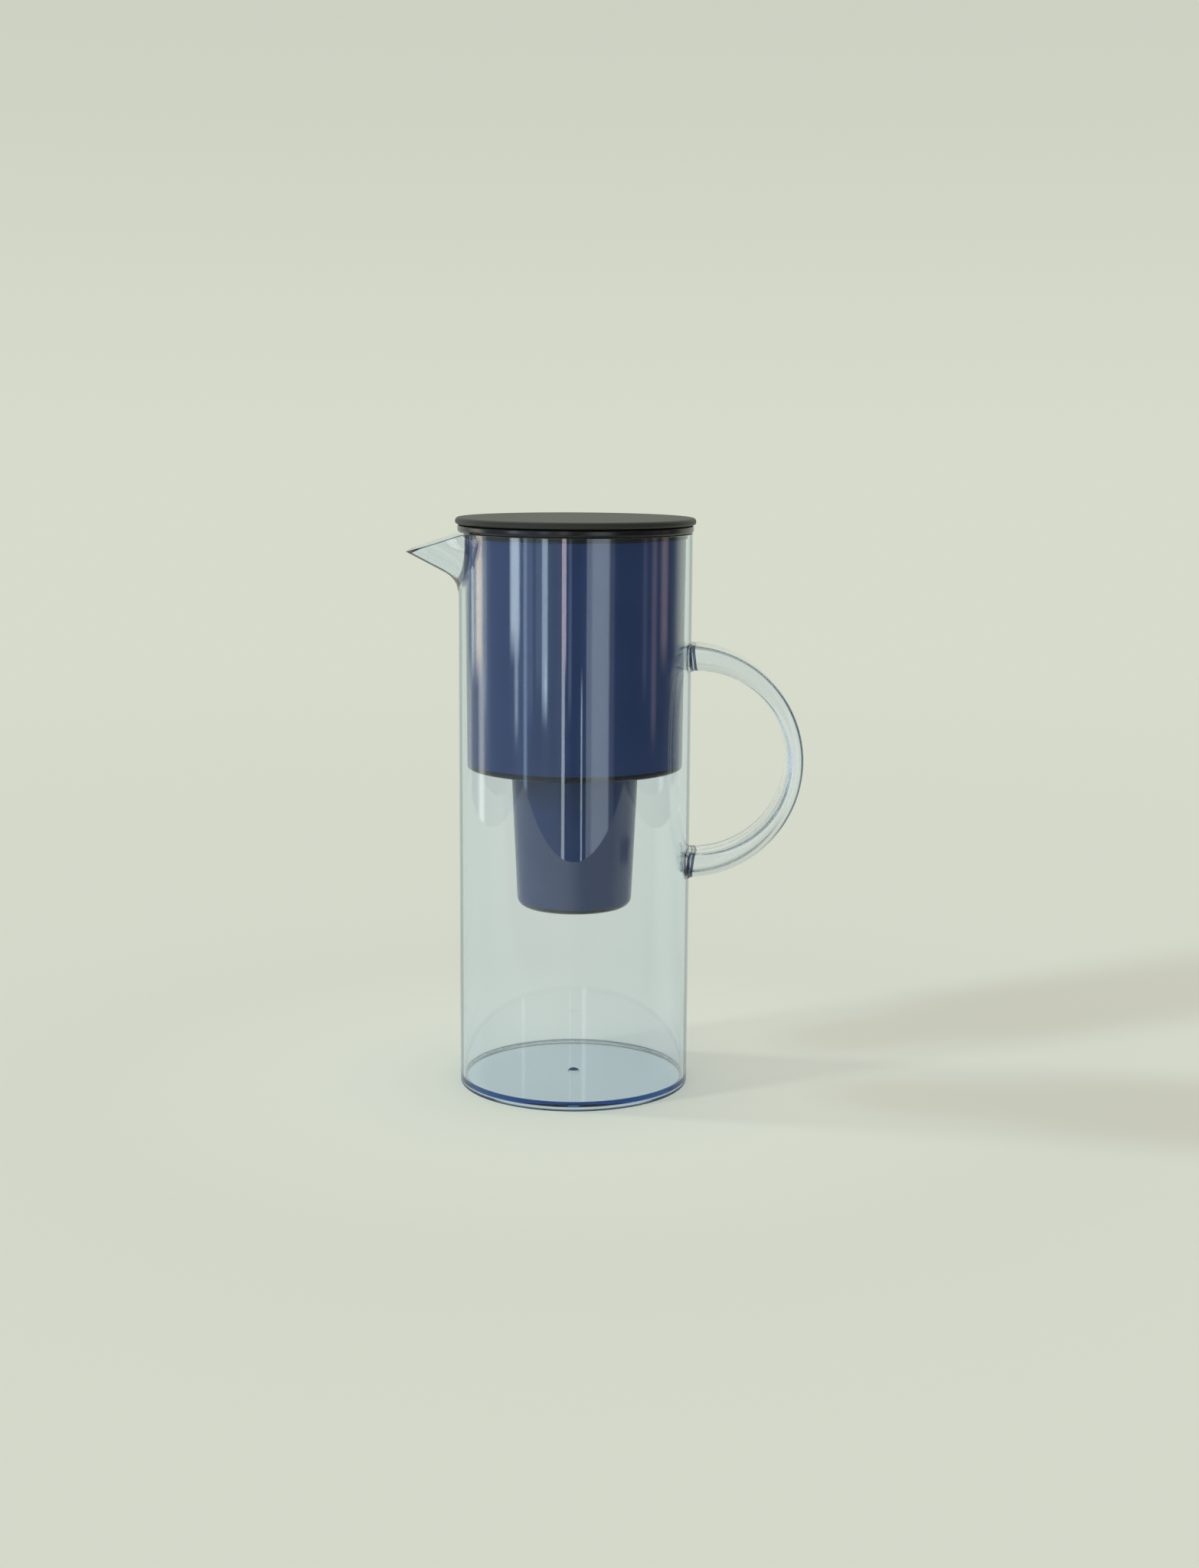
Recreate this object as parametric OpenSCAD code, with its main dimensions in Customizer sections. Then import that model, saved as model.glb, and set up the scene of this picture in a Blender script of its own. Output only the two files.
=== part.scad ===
// Water filter jug: a clear cylinder with a wide spout and a half-ring handle. A dark funnel hangs
// from its rim with a filter cartridge in its cup, and a flat lid closes the top.
// The jug's axis is the Z axis, the table is at zero, the spout points to -X and the handle to +X.

/* [Jug body] */
// Outer diameter of the clear cylinder
jug_d = 125.5; // [110:0.5:160]
// Thickness of the clear wall, the spout's too
jug_wall = 2.4; // [1.8:0.1:3.6]
// Height of the rim above the table
rim_h = 302; // [250:1:370]
// Rounding of both edges of the rim
rim_edge_r = 0.6; // [0.2:0.1:0.8]
// Thickness of the floor
floor_t = 2.8; // [2:0.1:5]
// Height of the foot ring under the floor
foot_h = 2; // [1:0.1:4]
// Width of the foot ring
foot_w = 3.4; // [2.4:0.1:8]
// Rounding of the outer bottom edge
base_edge_r = 1.2; // [0.4:0.1:1.8]
// Rounding where the floor meets the wall
floor_fillet_r = 2; // [0.5:0.1:6]
// Diameter of the moulding gate's mark in the floor
gate_d = 6; // [3:0.5:12]

/* [Spout] */
// Reach of the spout's tip beyond the wall
spout_reach = 28; // [20:0.5:40]
// Height of the rim above the spout's tip
spout_drop = 10.2; // [6:0.1:14]
// Height of the rim above the spout's underside, at the wall
spout_depth = 24.5; // [20:0.5:36]
// Width of the spout
spout_w = 62; // [44:1:78]
// Radius of the blend from the wall to the spout's underside
spout_blend_r = 13; // [6:0.5:20]

/* [Handle] */
// Outer radius of the half ring
handle_r = 63.2; // [45:0.1:80]
// Distance of the ring's middle inside the wall's outer face
handle_inset = 2.4; // [0:0.1:6]
// Thickness of the ring at its outermost point
handle_t = 8.8; // [7:0.1:16]
// Thickness of the ring at the wall
handle_root_t = 13.6; // [9:0.1:22]
// Width of the ring across the jug
handle_w = 28; // [18:0.5:34]
// Height of the ring's middle
handle_mid_h = 179.5; // [120:0.5:220]
// Rounding of the ring's four edges
handle_edge_r = 3.8; // [0.5:0.1:5]

/* [Funnel] */
// Overhang of the rim ring past the jug's wall
flange_over = 0.45; // [0:0.05:3]
// Height of the rim ring
flange_t = 4; // [2.5:0.1:8]
// Depth of the hopper from the jug's rim to its underside
hopper_depth = 126.5; // [90:0.5:155]
// Gap between the top of the hopper and the jug's bore
hopper_gap = 1.25; // [0.8:0.05:4]
// Draft of the hopper's side, top radius less bottom radius
hopper_draft = 0.8; // [0:0.1:4]
// Thickness of the hopper's wall and of the cup's wall
funnel_wall = 2; // [1.4:0.1:2.5]
// Thickness of the hopper's floor
hopper_floor_t = 2.5; // [1.6:0.1:4]
// Rounding of the hopper's bottom edge
hopper_edge_r = 2; // [0.5:0.1:2.4]
// Outer diameter of the cup where it leaves the hopper
cup_top_d = 69; // [58:0.2:84]
// Draft of the cup's side, top radius less foot radius
cup_draft = 3.5; // [0.5:0.1:6]
// Depth of the cup below the hopper
cup_depth = 76.5; // [55:0.5:92]
// Rounding of the cup's bottom edge
cup_edge_r = 4.5; // [1:0.1:6]
// Number of outlet slots in the cup's floor
outlet_count = 8; // [4:1:10]
// Width of an outlet slot
outlet_w = 4; // [2:0.5:5]

/* [Seals] */
// Height of the funnel's seal inside the jug's rim
neck_seal_h = 2.6; // [1.5:0.1:6]
// Depth of the grooves that hold the seals
seal_groove = 0.9; // [0.4:0.1:1.2]
// Height of the lid's seal
lid_seal_h = 3; // [2:0.1:4]
// Thickness of the cartridge's flat seal
cartridge_seal_t = 1.5; // [0.8:0.1:3]
// Gap left between a soft seal and the bore it wipes
seal_gap = 0.35; // [0.3:0.05:0.6]

/* [Lid] */
// Overhang of the lid past the funnel's rim ring
lid_over = 1.2; // [0:0.1:4]
// Height of the lid's edge
lid_t = 3.5; // [2.5:0.1:6]
// Rounding of the lid's edges
lid_edge_r = 1.6; // [0.4:0.1:1.7]
// Shadow gap between the lid and the funnel's rim ring
lid_gap = 0.5; // [0.3:0.1:1.5]
// Depth of the plug under the lid
plug_depth = 11; // [8:0.5:20]
// Thickness of the plug's skirt
plug_wall = 2; // [1.6:0.1:3]
// Gap between the plug and the funnel's mouth
plug_gap = 0.7; // [0.5:0.05:1.5]

/* [Cartridge] */
// Gap between the cartridge and the cup
cartridge_gap = 0.5; // [0.3:0.05:1.2]
// Wall of the cartridge
cartridge_wall = 1.5; // [1:0.1:2.5]
// Overhang of the cartridge's flange past the cup's mouth
cartridge_lip = 4.7; // [3:0.1:8]
// Thickness of the cartridge's flange
cartridge_flange_t = 2; // [1.2:0.1:4]
// Height of the cartridge's cap above the flange
cap_h = 9.7; // [7:0.1:14]
// Number of inlet slots in the cap
inlet_count = 12; // [6:1:16]
// Width of an inlet slot
inlet_w = 3; // [1.5:0.5:5]
// Thickness of the fine screens
screen_t = 0.8; // [0.4:0.1:1.5]
// Empty height above the filter bed
bed_gap = 3; // [1:0.5:12]

/* [Pull ring] */
// Length of the ring from its hinge to its far end
pull_len = 26; // [18:0.5:32]
// Half the ring's outer width
pull_half_w = 12.6; // [9:0.1:14]
// Width of the ring's bar
pull_bar_w = 3; // [2:0.1:5]
// Thickness of the ring's bar
pull_bar_t = 2.6; // [1.6:0.1:4]
// Radius of the hinge pins
pull_pin_r = 1.2; // [0.8:0.1:1.6]
// Running gap of the pins in their lugs
pin_gap = 0.06; // [0.03:0.01:0.1]
// Side gap between the ring and its lugs, and its hinge bosses and the cap
pull_gap = 0.4; // [0.3:0.05:1]
// Thickness of a hinge lug
lug_t = 3; // [2:0.1:5]

/* [Hidden] */
$fn = 96;

// Overlap that makes a cut pass right through
over = 1;

// Jug
jug_r = jug_d / 2;
bore_r = jug_r - jug_wall;
floor_z = foot_h + floor_t;
gate_rise = 0.8;
gate_sink = 1;

// Spout, measured along its own reach
tip_r = jug_r + spout_reach;
tip_z = rim_h - spout_drop;
keel_angle = atan((spout_depth - spout_drop) / spout_reach);
blend_z = rim_h - spout_depth - spout_blend_r * tan(45 - keel_angle / 2);
spout_root_r = sqrt(pow(bore_r, 2) - pow(spout_w / 2, 2)) - 4;
spout_plan_power = 3;
spout_section_power = 2.6;
spout_levels = 12;
spout_steps = 20;
spout_first_level = 12;
rim_slope = atan(spout_drop / (tip_r - bore_r + over));

// Handle
handle_x = jug_r - handle_inset;
handle_round = min(handle_edge_r, handle_t / 2 - 0.3, handle_w / 2 - 1);
grip_r = handle_r - handle_root_t;
grip_x = handle_x + handle_root_t - handle_t;

// Funnel
flange_r = jug_r + flange_over;
flange_top = rim_h + flange_t;
flange_under_r = min(1.6, flange_t / 2);
flange_top_r = 0.8;
hopper_r = bore_r - hopper_gap;
hopper_foot_r = hopper_r - hopper_draft;
hopper_z = rim_h - hopper_depth;
hopper_floor_z = hopper_z + hopper_floor_t;
mouth_r = hopper_r - funnel_wall;
cup_z = hopper_z - cup_depth;
cup_floor_z = cup_z + funnel_wall;
cup_foot_r = cup_top_d / 2 - cup_draft;
cup_taper = cup_draft / cup_depth;
outlet_inner_r = 9;
outlet_margin = 5;

// Seals
neck_groove_r = hopper_r - seal_groove;
neck_seal_r = bore_r - seal_gap;

// Lid
lid_r = flange_r + lid_over;
lid_z = flange_top + lid_gap;
lid_top = lid_z + lid_t;
plug_plate_t = lid_gap + 1.5;
plug_plate_r = flange_r - 2.2;
plug_r = mouth_r - plug_gap;
plug_z = flange_top - plug_depth;
lid_seal_z = plug_z + 2;
lid_fit_gap = 0.2;

// Cartridge
seat_z = hopper_floor_z + cartridge_seal_t;
shell_top = seat_z + cartridge_flange_t;
shell_z = cup_floor_z + 2;
shell_floor_t = 2;
shell_flange_r = cup_inner_r(hopper_floor_z) + cartridge_lip;
cap_top = shell_top + cap_h;
cap_rim_t = 2;
cap_wall = 1.8;
cap_r = shell_flange_r - 1;
spigot_h = 3;
spigot_gap = 0.1;
screen_gap = 0.2;
outlet_screen_z = shell_z + shell_floor_t;
inlet_screen_z = shell_top - spigot_h - screen_t;
bed_z = outlet_screen_z + screen_t;
bed_top = inlet_screen_z - bed_gap;

// Pull ring
boss_r = pull_pin_r + 1;
hinge_x = pull_len / 2;
hinge_z = cap_top + pull_gap + boss_r;
lug_y = pull_half_w + pull_gap;
lug_r = boss_r + 0.8;
cap_flat_r = norm([hinge_x + lug_r, lug_y + lug_t]) + 1.4;

// Radius of the cup's outside and inside, and of the cartridge, at a height
function cup_outer_r(z) = cup_foot_r + (z - cup_z) * cup_taper;
function cup_inner_r(z) = cup_outer_r(z) - funnel_wall;
function shell_outer_r(z) = cup_inner_r(z) - cartridge_gap;
function shell_inner_r(z) = shell_outer_r(z) - cartridge_wall;

// Points of an arc about a centre, from one angle to another
function arc(centre, radius, from, to, steps = 6) = [
    for (i = [0:steps])
        let (a = from + (to - from) * i / steps)
        centre + radius * [cos(a), sin(a)]
];

// Reach of the spout's underside at a height, or of its channel when inset by the wall
function keel_r(z, inset) =
    let (r = spout_blend_r + inset)
    let (line_z = blend_z + r * cos(keel_angle))
    let (line_r = jug_r + spout_blend_r - r * sin(keel_angle))
    z < line_z
        ? jug_r + spout_blend_r - sqrt(r * r - pow(z - blend_z, 2))
        : line_r + (z - line_z) / tan(keel_angle);

// One level of the spout: a blunt rounded outline from one side to the other
function spout_level(turn, inset) =
    let (z = rim_h - (rim_h - blend_z) * pow(cos(turn), 2 / spout_section_power))
    let (half_w = (spout_w / 2 - inset) * pow(sin(turn), 2 / spout_section_power))
    let (reach = keel_r(z, inset) - spout_root_r)
    [
        for (i = [0:spout_steps])
            let (a = -90 + 180 * i / spout_steps)
            let (along = pow(max(0, cos(a)), 2 / spout_plan_power))
            let (across = sign(a) * pow(abs(sin(a)), 2 / spout_plan_power))
            [-spout_root_r - reach * along, half_w * across, z]
    ];

// Solid of the spout's outside, or of its channel when inset by the wall
module spout_form(inset) {
    count = spout_steps + 1;
    turns = [
        for (i = [0:spout_levels])
            spout_first_level + (90 - spout_first_level) * i / spout_levels
    ];
    points = [for (turn = turns) each spout_level(turn, inset)];
    sides = [
        for (i = [0:spout_levels - 1], j = [0:count - 1])
            let (k = (j + 1) % count)
            let (low = i * count, high = low + count)
            each [
                [low + j, high + k, high + j],
                [low + j, low + k, high + k]
            ]
    ];
    bottom = [for (j = [count - 1:-1:0]) j];
    top = [for (j = [0:count - 1]) spout_levels * count + j];
    polyhedron(points, concat([bottom], sides, [top]));
}

// Solid of the jug's outside, without the spout
module jug_outside() {
    foot_in = jug_r - foot_w;
    rotate_extrude()
        polygon(concat(
            [[0, foot_h], [foot_in, foot_h], [foot_in, 0]],
            arc([jug_r - base_edge_r, base_edge_r], base_edge_r, -90, 0),
            arc([jug_r - rim_edge_r, rim_h - rim_edge_r], rim_edge_r, 0, 90),
            [[0, rim_h]]
        ));
}

// Solid of the jug's inside, flared over the rim
module jug_bore() {
    flare_r = bore_r + rim_edge_r;
    rotate_extrude()
        polygon(concat(
            [[0, floor_z]],
            arc([bore_r - floor_fillet_r, floor_z + floor_fillet_r], floor_fillet_r, -90, 0),
            arc([flare_r, rim_h - rim_edge_r], rim_edge_r, 180, 90),
            [[flare_r, rim_h + over], [0, rim_h + over]]
        ));
}

module jug_body() {
    color([0.72, 0.82, 0.92, 0.4])
        difference() {
            union() {
                difference() {
                    union() {
                        jug_outside();
                        spout_form(0);
                    }
                    jug_bore();
                }
                translate([0, 0, floor_z])
                    cylinder(d1 = gate_d, d2 = gate_d / 2, h = gate_rise);
            }
            spout_form(jug_wall);
            translate([-tip_r, 0, tip_z])
                rotate([0, -rim_slope, 0])
                    translate([-spout_reach, -spout_w, 0])
                        cube([2 * spout_reach + jug_wall, 2 * spout_w, spout_depth]);
            translate([0, 0, foot_h - over])
                cylinder(d = gate_d, h = gate_sink + over);
        }
}

module handle() {
    half_w = handle_w / 2;
    corner = half_w - handle_round;
    color([0.72, 0.82, 0.92, 0.4])
        difference() {
            translate([handle_x, 0, handle_mid_h])
                rotate([90, 0, 0])
                    rotate_extrude()
                        polygon(concat(
                            [[0, -half_w]],
                            arc([handle_r - handle_round, -corner], handle_round, -90, 0),
                            arc([handle_r - handle_round, corner], handle_round, 0, 90),
                            [[0, half_w]]
                        ));
            translate([grip_x, 0, handle_mid_h])
                rotate([90, 0, 0])
                    rotate_extrude()
                        polygon(concat(
                            [[0, -half_w - over], [grip_r + handle_round, -half_w - over]],
                            arc([grip_r + handle_round, -corner], handle_round, 270, 180),
                            arc([grip_r + handle_round, corner], handle_round, 180, 90),
                            [[grip_r + handle_round, half_w + over], [0, half_w + over]]
                        ));
            cylinder(r = jug_r, h = rim_h);
        }
}

module funnel_profile() {
    edge_z = hopper_z + hopper_edge_r;
    foot_z = cup_z + cup_edge_r;
    polygon(concat(
        arc([flange_r - flange_top_r, flange_top - flange_top_r], flange_top_r, 90, 0),
        arc([flange_r - flange_under_r, rim_h + flange_under_r], flange_under_r, 0, -90),
        [
            [neck_groove_r, rim_h],
            [neck_groove_r, rim_h - neck_seal_h],
            [hopper_r, rim_h - neck_seal_h]
        ],
        arc([hopper_foot_r - hopper_edge_r, edge_z], hopper_edge_r, 0, -90),
        [[cup_outer_r(hopper_z), hopper_z]],
        arc([cup_outer_r(foot_z) - cup_edge_r, foot_z], cup_edge_r, 0, -90),
        [
            [0, cup_z],
            [0, cup_floor_z],
            [cup_inner_r(cup_z) - cup_edge_r, cup_floor_z],
            [cup_inner_r(foot_z), foot_z],
            [cup_inner_r(hopper_floor_z), hopper_floor_z],
            [hopper_foot_r - funnel_wall, hopper_floor_z],
            [mouth_r, flange_top]
        ]
    ));
}

// Radial slots through a floor
module slots(count, inner, outer, width, low, high) {
    for (i = [0:count - 1])
        rotate([0, 0, 360 * i / count])
            translate([inner, -width / 2, low])
                cube([outer - inner, width, high - low]);
}

module funnel() {
    outlet_outer_r = cup_inner_r(cup_z) - outlet_margin;
    color([0.16, 0.19, 0.25])
        difference() {
            rotate_extrude()
                funnel_profile();
            slots(outlet_count, outlet_inner_r, outlet_outer_r, outlet_w,
                cup_z - over, cup_floor_z + over);
        }
}

// Flat ring between two radii
module ring(inner, outer, low, high) {
    rotate_extrude()
        translate([inner, low])
            square([outer - inner, high - low]);
}

module funnel_seal() {
    color([0.1, 0.1, 0.11])
        ring(neck_groove_r, neck_seal_r, rim_h - neck_seal_h, rim_h);
}

module lid_cap() {
    recess_r = plug_plate_r + lid_fit_gap;
    recess_z = flange_top + plug_plate_t;
    color([0.23, 0.24, 0.24])
        rotate_extrude()
            polygon(concat(
                [[0, recess_z], [recess_r, recess_z], [recess_r, lid_z]],
                arc([lid_r - lid_edge_r, lid_z + lid_edge_r], lid_edge_r, -90, 0),
                arc([lid_r - lid_edge_r, lid_top - lid_edge_r], lid_edge_r, 0, 90),
                [[0, lid_top]]
            ));
}

module lid_plug() {
    plate_top = flange_top + plug_plate_t;
    color([0.2, 0.21, 0.21])
        rotate_extrude()
            polygon([
                [0, flange_top],
                [plug_r - plug_wall, flange_top],
                [plug_r - plug_wall, plug_z],
                [plug_r, plug_z],
                [plug_r, lid_seal_z],
                [plug_r - seal_groove, lid_seal_z],
                [plug_r - seal_groove, lid_seal_z + lid_seal_h],
                [plug_r, lid_seal_z + lid_seal_h],
                [plug_r, flange_top],
                [plug_plate_r, flange_top],
                [plug_plate_r, plate_top],
                [0, plate_top]
            ]);
}

module lid_seal() {
    narrow_r = hopper_foot_r - funnel_wall;
    seal_share = (lid_seal_z - hopper_floor_z) / (flange_top - hopper_floor_z);
    seal_r = narrow_r + (mouth_r - narrow_r) * seal_share - seal_gap;
    color([0.1, 0.1, 0.11])
        ring(plug_r - seal_groove, seal_r, lid_seal_z, lid_seal_z + lid_seal_h);
}

module cartridge_shell() {
    low_r = shell_outer_r(shell_z + cup_edge_r);
    slot_outer_r = low_r - cup_edge_r - outlet_margin / 2;
    color([0.9, 0.91, 0.92])
        difference() {
            rotate_extrude()
                polygon([
                    [0, shell_z],
                    [low_r - cup_edge_r, shell_z],
                    [low_r, shell_z + cup_edge_r],
                    [shell_outer_r(seat_z), seat_z],
                    [shell_flange_r, seat_z],
                    [shell_flange_r, shell_top],
                    [shell_inner_r(shell_top), shell_top],
                    [shell_inner_r(outlet_screen_z + cup_edge_r), outlet_screen_z + cup_edge_r],
                    [shell_inner_r(outlet_screen_z) - cup_edge_r, outlet_screen_z],
                    [0, outlet_screen_z]
                ]);
            slots(outlet_count, outlet_inner_r, slot_outer_r, outlet_w,
                shell_z - over, outlet_screen_z + over);
        }
}

module hinge_lug(side) {
    translate([hinge_x, side * (lug_y + lug_t / 2), 0]) {
        translate([-lug_r, -lug_t / 2, cap_top - cap_wall])
            cube([2 * lug_r, lug_t, hinge_z - cap_top + cap_wall]);
        translate([0, lug_t / 2, hinge_z])
            rotate([90, 0, 0])
                cylinder(r = lug_r, h = lug_t);
    }
}

module cartridge_cap() {
    rim_z = shell_top + cap_rim_t;
    spigot_r = shell_inner_r(shell_top - spigot_h) - spigot_gap;
    slot_inner_r = cap_flat_r + 2;
    slot_outer_r = cap_r - 2.5;
    color([0.86, 0.88, 0.9])
        difference() {
            union() {
                rotate_extrude()
                    polygon([
                        [0, cap_top],
                        [cap_flat_r, cap_top],
                        [cap_r, rim_z],
                        [cap_r, shell_top],
                        [spigot_r, shell_top],
                        [spigot_r, shell_top - spigot_h],
                        [spigot_r - cap_wall, shell_top - spigot_h],
                        [spigot_r - cap_wall, rim_z - cap_wall],
                        [cap_flat_r, cap_top - cap_wall],
                        [0, cap_top - cap_wall]
                    ]);
                hinge_lug(1);
                hinge_lug(-1);
            }
            slots(inlet_count, slot_inner_r, slot_outer_r, inlet_w, rim_z + 0.5, cap_top);
            translate([hinge_x, lug_y + lug_t + over, hinge_z])
                rotate([90, 0, 0])
                    cylinder(r = pull_pin_r + pin_gap, h = 2 * (lug_y + lug_t + over));
        }
}

module inlet_screen() {
    color([0.8, 0.82, 0.84])
        translate([0, 0, inlet_screen_z])
            cylinder(r = shell_inner_r(inlet_screen_z) - screen_gap, h = screen_t);
}

module outlet_screen() {
    color([0.8, 0.82, 0.84])
        translate([0, 0, outlet_screen_z])
            cylinder(r = shell_inner_r(outlet_screen_z) - cup_edge_r - screen_gap, h = screen_t);
}

module filter_media() {
    turn_z = outlet_screen_z + cup_edge_r;
    low_r = shell_inner_r(outlet_screen_z) - cup_edge_r - screen_gap;
    color([0.13, 0.12, 0.11])
        rotate_extrude()
            polygon([
                [0, bed_z],
                [low_r, bed_z],
                [shell_inner_r(turn_z) - screen_gap - screen_t, turn_z],
                [shell_inner_r(bed_top) - screen_gap, bed_top],
                [0, bed_top]
            ]);
}

module cartridge_seal() {
    color([0.1, 0.1, 0.11])
        ring(cup_inner_r(hopper_floor_z) + seal_gap, shell_flange_r - seal_gap,
            hopper_floor_z, seat_z);
}

module pull_ring() {
    bend_x = hinge_x - pull_len + pull_half_w;
    inner_half_w = pull_half_w - pull_bar_w;
    pin_end = lug_y + lug_t;
    color([0.86, 0.88, 0.9])
        union() {
            translate([0, 0, hinge_z - pull_bar_t / 2])
                linear_extrude(pull_bar_t)
                    difference() {
                        union() {
                            translate([bend_x, -pull_half_w])
                                square([hinge_x - bend_x, 2 * pull_half_w]);
                            translate([bend_x, 0])
                                circle(pull_half_w);
                        }
                        translate([bend_x, -inner_half_w])
                            square([hinge_x - bend_x + over, 2 * inner_half_w]);
                        translate([bend_x, 0])
                            circle(inner_half_w);
                    }
            for (side = [-1, 1])
                translate([hinge_x, 0, hinge_z])
                    rotate([-90 * side, 0, 0]) {
                        translate([0, 0, inner_half_w])
                            cylinder(r = boss_r, h = pull_bar_w);
                        translate([0, 0, inner_half_w])
                            cylinder(r = pull_pin_r, h = pin_end - inner_half_w);
                    }
        }
}

jug_body();
handle();
funnel();
funnel_seal();
lid_cap();
lid_plug();
lid_seal();
cartridge_shell();
cartridge_cap();
inlet_screen();
outlet_screen();
filter_media();
cartridge_seal();
pull_ring();
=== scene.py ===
import math

import bmesh
import bpy
import numpy as np
from bpy.props import FloatProperty, FloatVectorProperty, IntProperty, PointerProperty
from mathutils import Matrix, Vector, noise


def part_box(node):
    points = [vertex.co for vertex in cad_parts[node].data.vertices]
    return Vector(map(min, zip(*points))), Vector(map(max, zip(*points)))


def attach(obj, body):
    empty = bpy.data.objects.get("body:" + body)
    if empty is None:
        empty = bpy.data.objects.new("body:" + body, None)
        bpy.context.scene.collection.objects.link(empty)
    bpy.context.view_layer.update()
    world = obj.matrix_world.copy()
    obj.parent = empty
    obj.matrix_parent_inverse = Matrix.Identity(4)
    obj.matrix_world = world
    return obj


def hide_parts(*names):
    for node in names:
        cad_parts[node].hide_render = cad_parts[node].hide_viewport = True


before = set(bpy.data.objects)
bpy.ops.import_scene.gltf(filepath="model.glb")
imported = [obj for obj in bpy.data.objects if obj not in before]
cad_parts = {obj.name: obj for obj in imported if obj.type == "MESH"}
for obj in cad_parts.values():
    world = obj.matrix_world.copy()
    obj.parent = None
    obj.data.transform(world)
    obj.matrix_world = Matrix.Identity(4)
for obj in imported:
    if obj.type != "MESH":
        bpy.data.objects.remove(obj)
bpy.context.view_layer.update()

bl_info = {
    "name": "Water Filter Jug",
    "version": (1, 0, 0),
    "blender": (4, 5, 0),
    "location": "View3D > Sidebar > Jug",
    "description": "Clear filter jug with a lift-out funnel, a cartridge and a flat lid",
    "category": "Object",
}

BOX = {name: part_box(name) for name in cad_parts}


def low(node, axis):
    return BOX[node][0][axis]


def high(node, axis):
    return BOX[node][1][axis]


def length(name, default, description):
    return FloatProperty(
        name=name, description=description, default=default, min=0.0, unit="LENGTH", precision=5
    )


def colour(name, default, description):
    return FloatVectorProperty(
        name=name, description=description, default=default, subtype="COLOR", min=0.0, max=1.0
    )


class JugSizes(bpy.types.PropertyGroup):
    radius: length("Radius", high("jug_body", 1), "Outer radius of the clear cylinder")
    wall: length("Wall", 0.0024, "Thickness of the clear wall")
    rim: length("Rim height", high("jug_body", 2), "Height of the pouring rim")
    rim_edge: length("Rim rounding", 0.0003, "Rounding of both edges of the rim")
    floor: length("Floor height", 0.0048, "Height of the floor's top")
    foot: length("Foot height", 0.002, "Height of the foot ring")
    foot_width: length("Foot width", 0.0034, "Width of the foot ring")
    foot_edge: length("Foot rounding", 0.0006, "Rounding inside the foot ring")
    base_edge: length("Base rounding", 0.0008, "Rounding of the outer bottom edge")
    floor_fillet: length("Floor fillet", 0.0004, "Rounding where the floor meets the wall")
    gate: length("Gate mark", 0.003, "Radius of the moulding gate's mark")
    gate_recess: length("Gate recess", 0.0008, "Depth of the recess under the gate's mark")
    gate_rise: length("Gate rise", 0.0007, "Height of the gate's mark on the floor")
    gate_edge: length("Gate rounding", 0.0003, "Rounding of the gate's mark and recess")
    spout_tip: length("Spout tip", -low("jug_body", 0), "Distance of the spout's tip from the axis")
    spout_drop: length("Spout drop", 0.0102, "Height of the rim above the spout's tip")
    spout_depth: length("Spout depth", 0.0245, "Height of the rim above the underside at the wall")
    spout_half: length("Spout half width", 0.031, "Half the width of the spout")
    spout_blend: length("Spout blend", 0.013, "Radius of the blend from the wall to the underside")
    columns: IntProperty(name="Columns", description="Columns of faces round the wall", default=384)


class HandleSizes(bpy.types.PropertyGroup):
    radius: length("Outer radius", 0.0632, "Outer radius of the half ring")
    inset: length("Inset", 0.0024, "Distance of the ring's middle inside the wall's outer face")
    thickness: length("Thickness", 0.0088, "Thickness at the outermost point")
    root: length("Root thickness", 0.0136, "Thickness at the wall")
    width: length("Width", 2 * high("handle", 1), "Width across the jug")
    middle: length("Middle height", (low("handle", 2) + high("handle", 2)) / 2, "Height of the middle")
    edge: length("Edge rounding", 0.0038, "Rounding of the ring's edges")
    seat: length("Seat gap", 0.00005, "Gap left at the weld to the wall")
    flare: length("Root fillet", 0.003, "Fillet where the handle meets the wall")


class FunnelSizes(bpy.types.PropertyGroup):
    flange: length("Rim ring radius", high("funnel", 0), "Radius of the ring that hangs on the jug")
    top: length("Top height", high("funnel", 2), "Height of the rim ring's top")
    side: length("Top radius", 0.0591, "Radius of the hopper under the rim ring")
    low_side: length("Bottom radius", 0.0583, "Radius of the hopper at its floor")
    bottom: length("Floor height", 0.1755, "Height of the underside of the hopper's floor")
    floor: length("Floor thickness", 0.0025, "Thickness of the hopper's floor")
    wall: length("Wall", 0.002, "Thickness of the wall")
    groove: length("Groove radius", 0.0582, "Radius of the groove for the neck seal")
    cup_top: length("Cup top radius", 0.0345, "Radius of the cup under the hopper's floor")
    cup_foot: length("Cup foot radius", 0.031, "Radius of the cup at its foot")
    foot: length("Cup foot height", low("funnel", 2), "Height of the cup's foot")
    cup_edge: length("Cup rounding", 0.0045, "Rounding of the cup's lower edge")
    slot_margin: length("Slot margin", 0.005, "Distance of the slots' ends from the cup's wall")
    dark_foot: length("Dark foot", 0.0024, "Height of the dark edge at the cup's foot")
    dark_floor: length("Dark floor", 0.0032, "Height of the dark edge at the hopper's floor")


class LidSizes(bpy.types.PropertyGroup):
    edge: length("Upper rounding", 0.0018, "Rounding of the disc's upper edge")
    low_edge: length("Lower rounding", 0.0012, "Rounding of the disc's lower edge")
    gap: length("Plate gap", 0.0002, "Gap between the disc and the plug's plate")
    skirt: length("Skirt radius", 0.0564, "Outer radius of the plug's skirt")
    wall: length("Skirt wall", 0.002, "Thickness of the skirt")
    groove: length("Groove depth", 0.0009, "Depth of the groove for the lid's seal")


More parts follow.
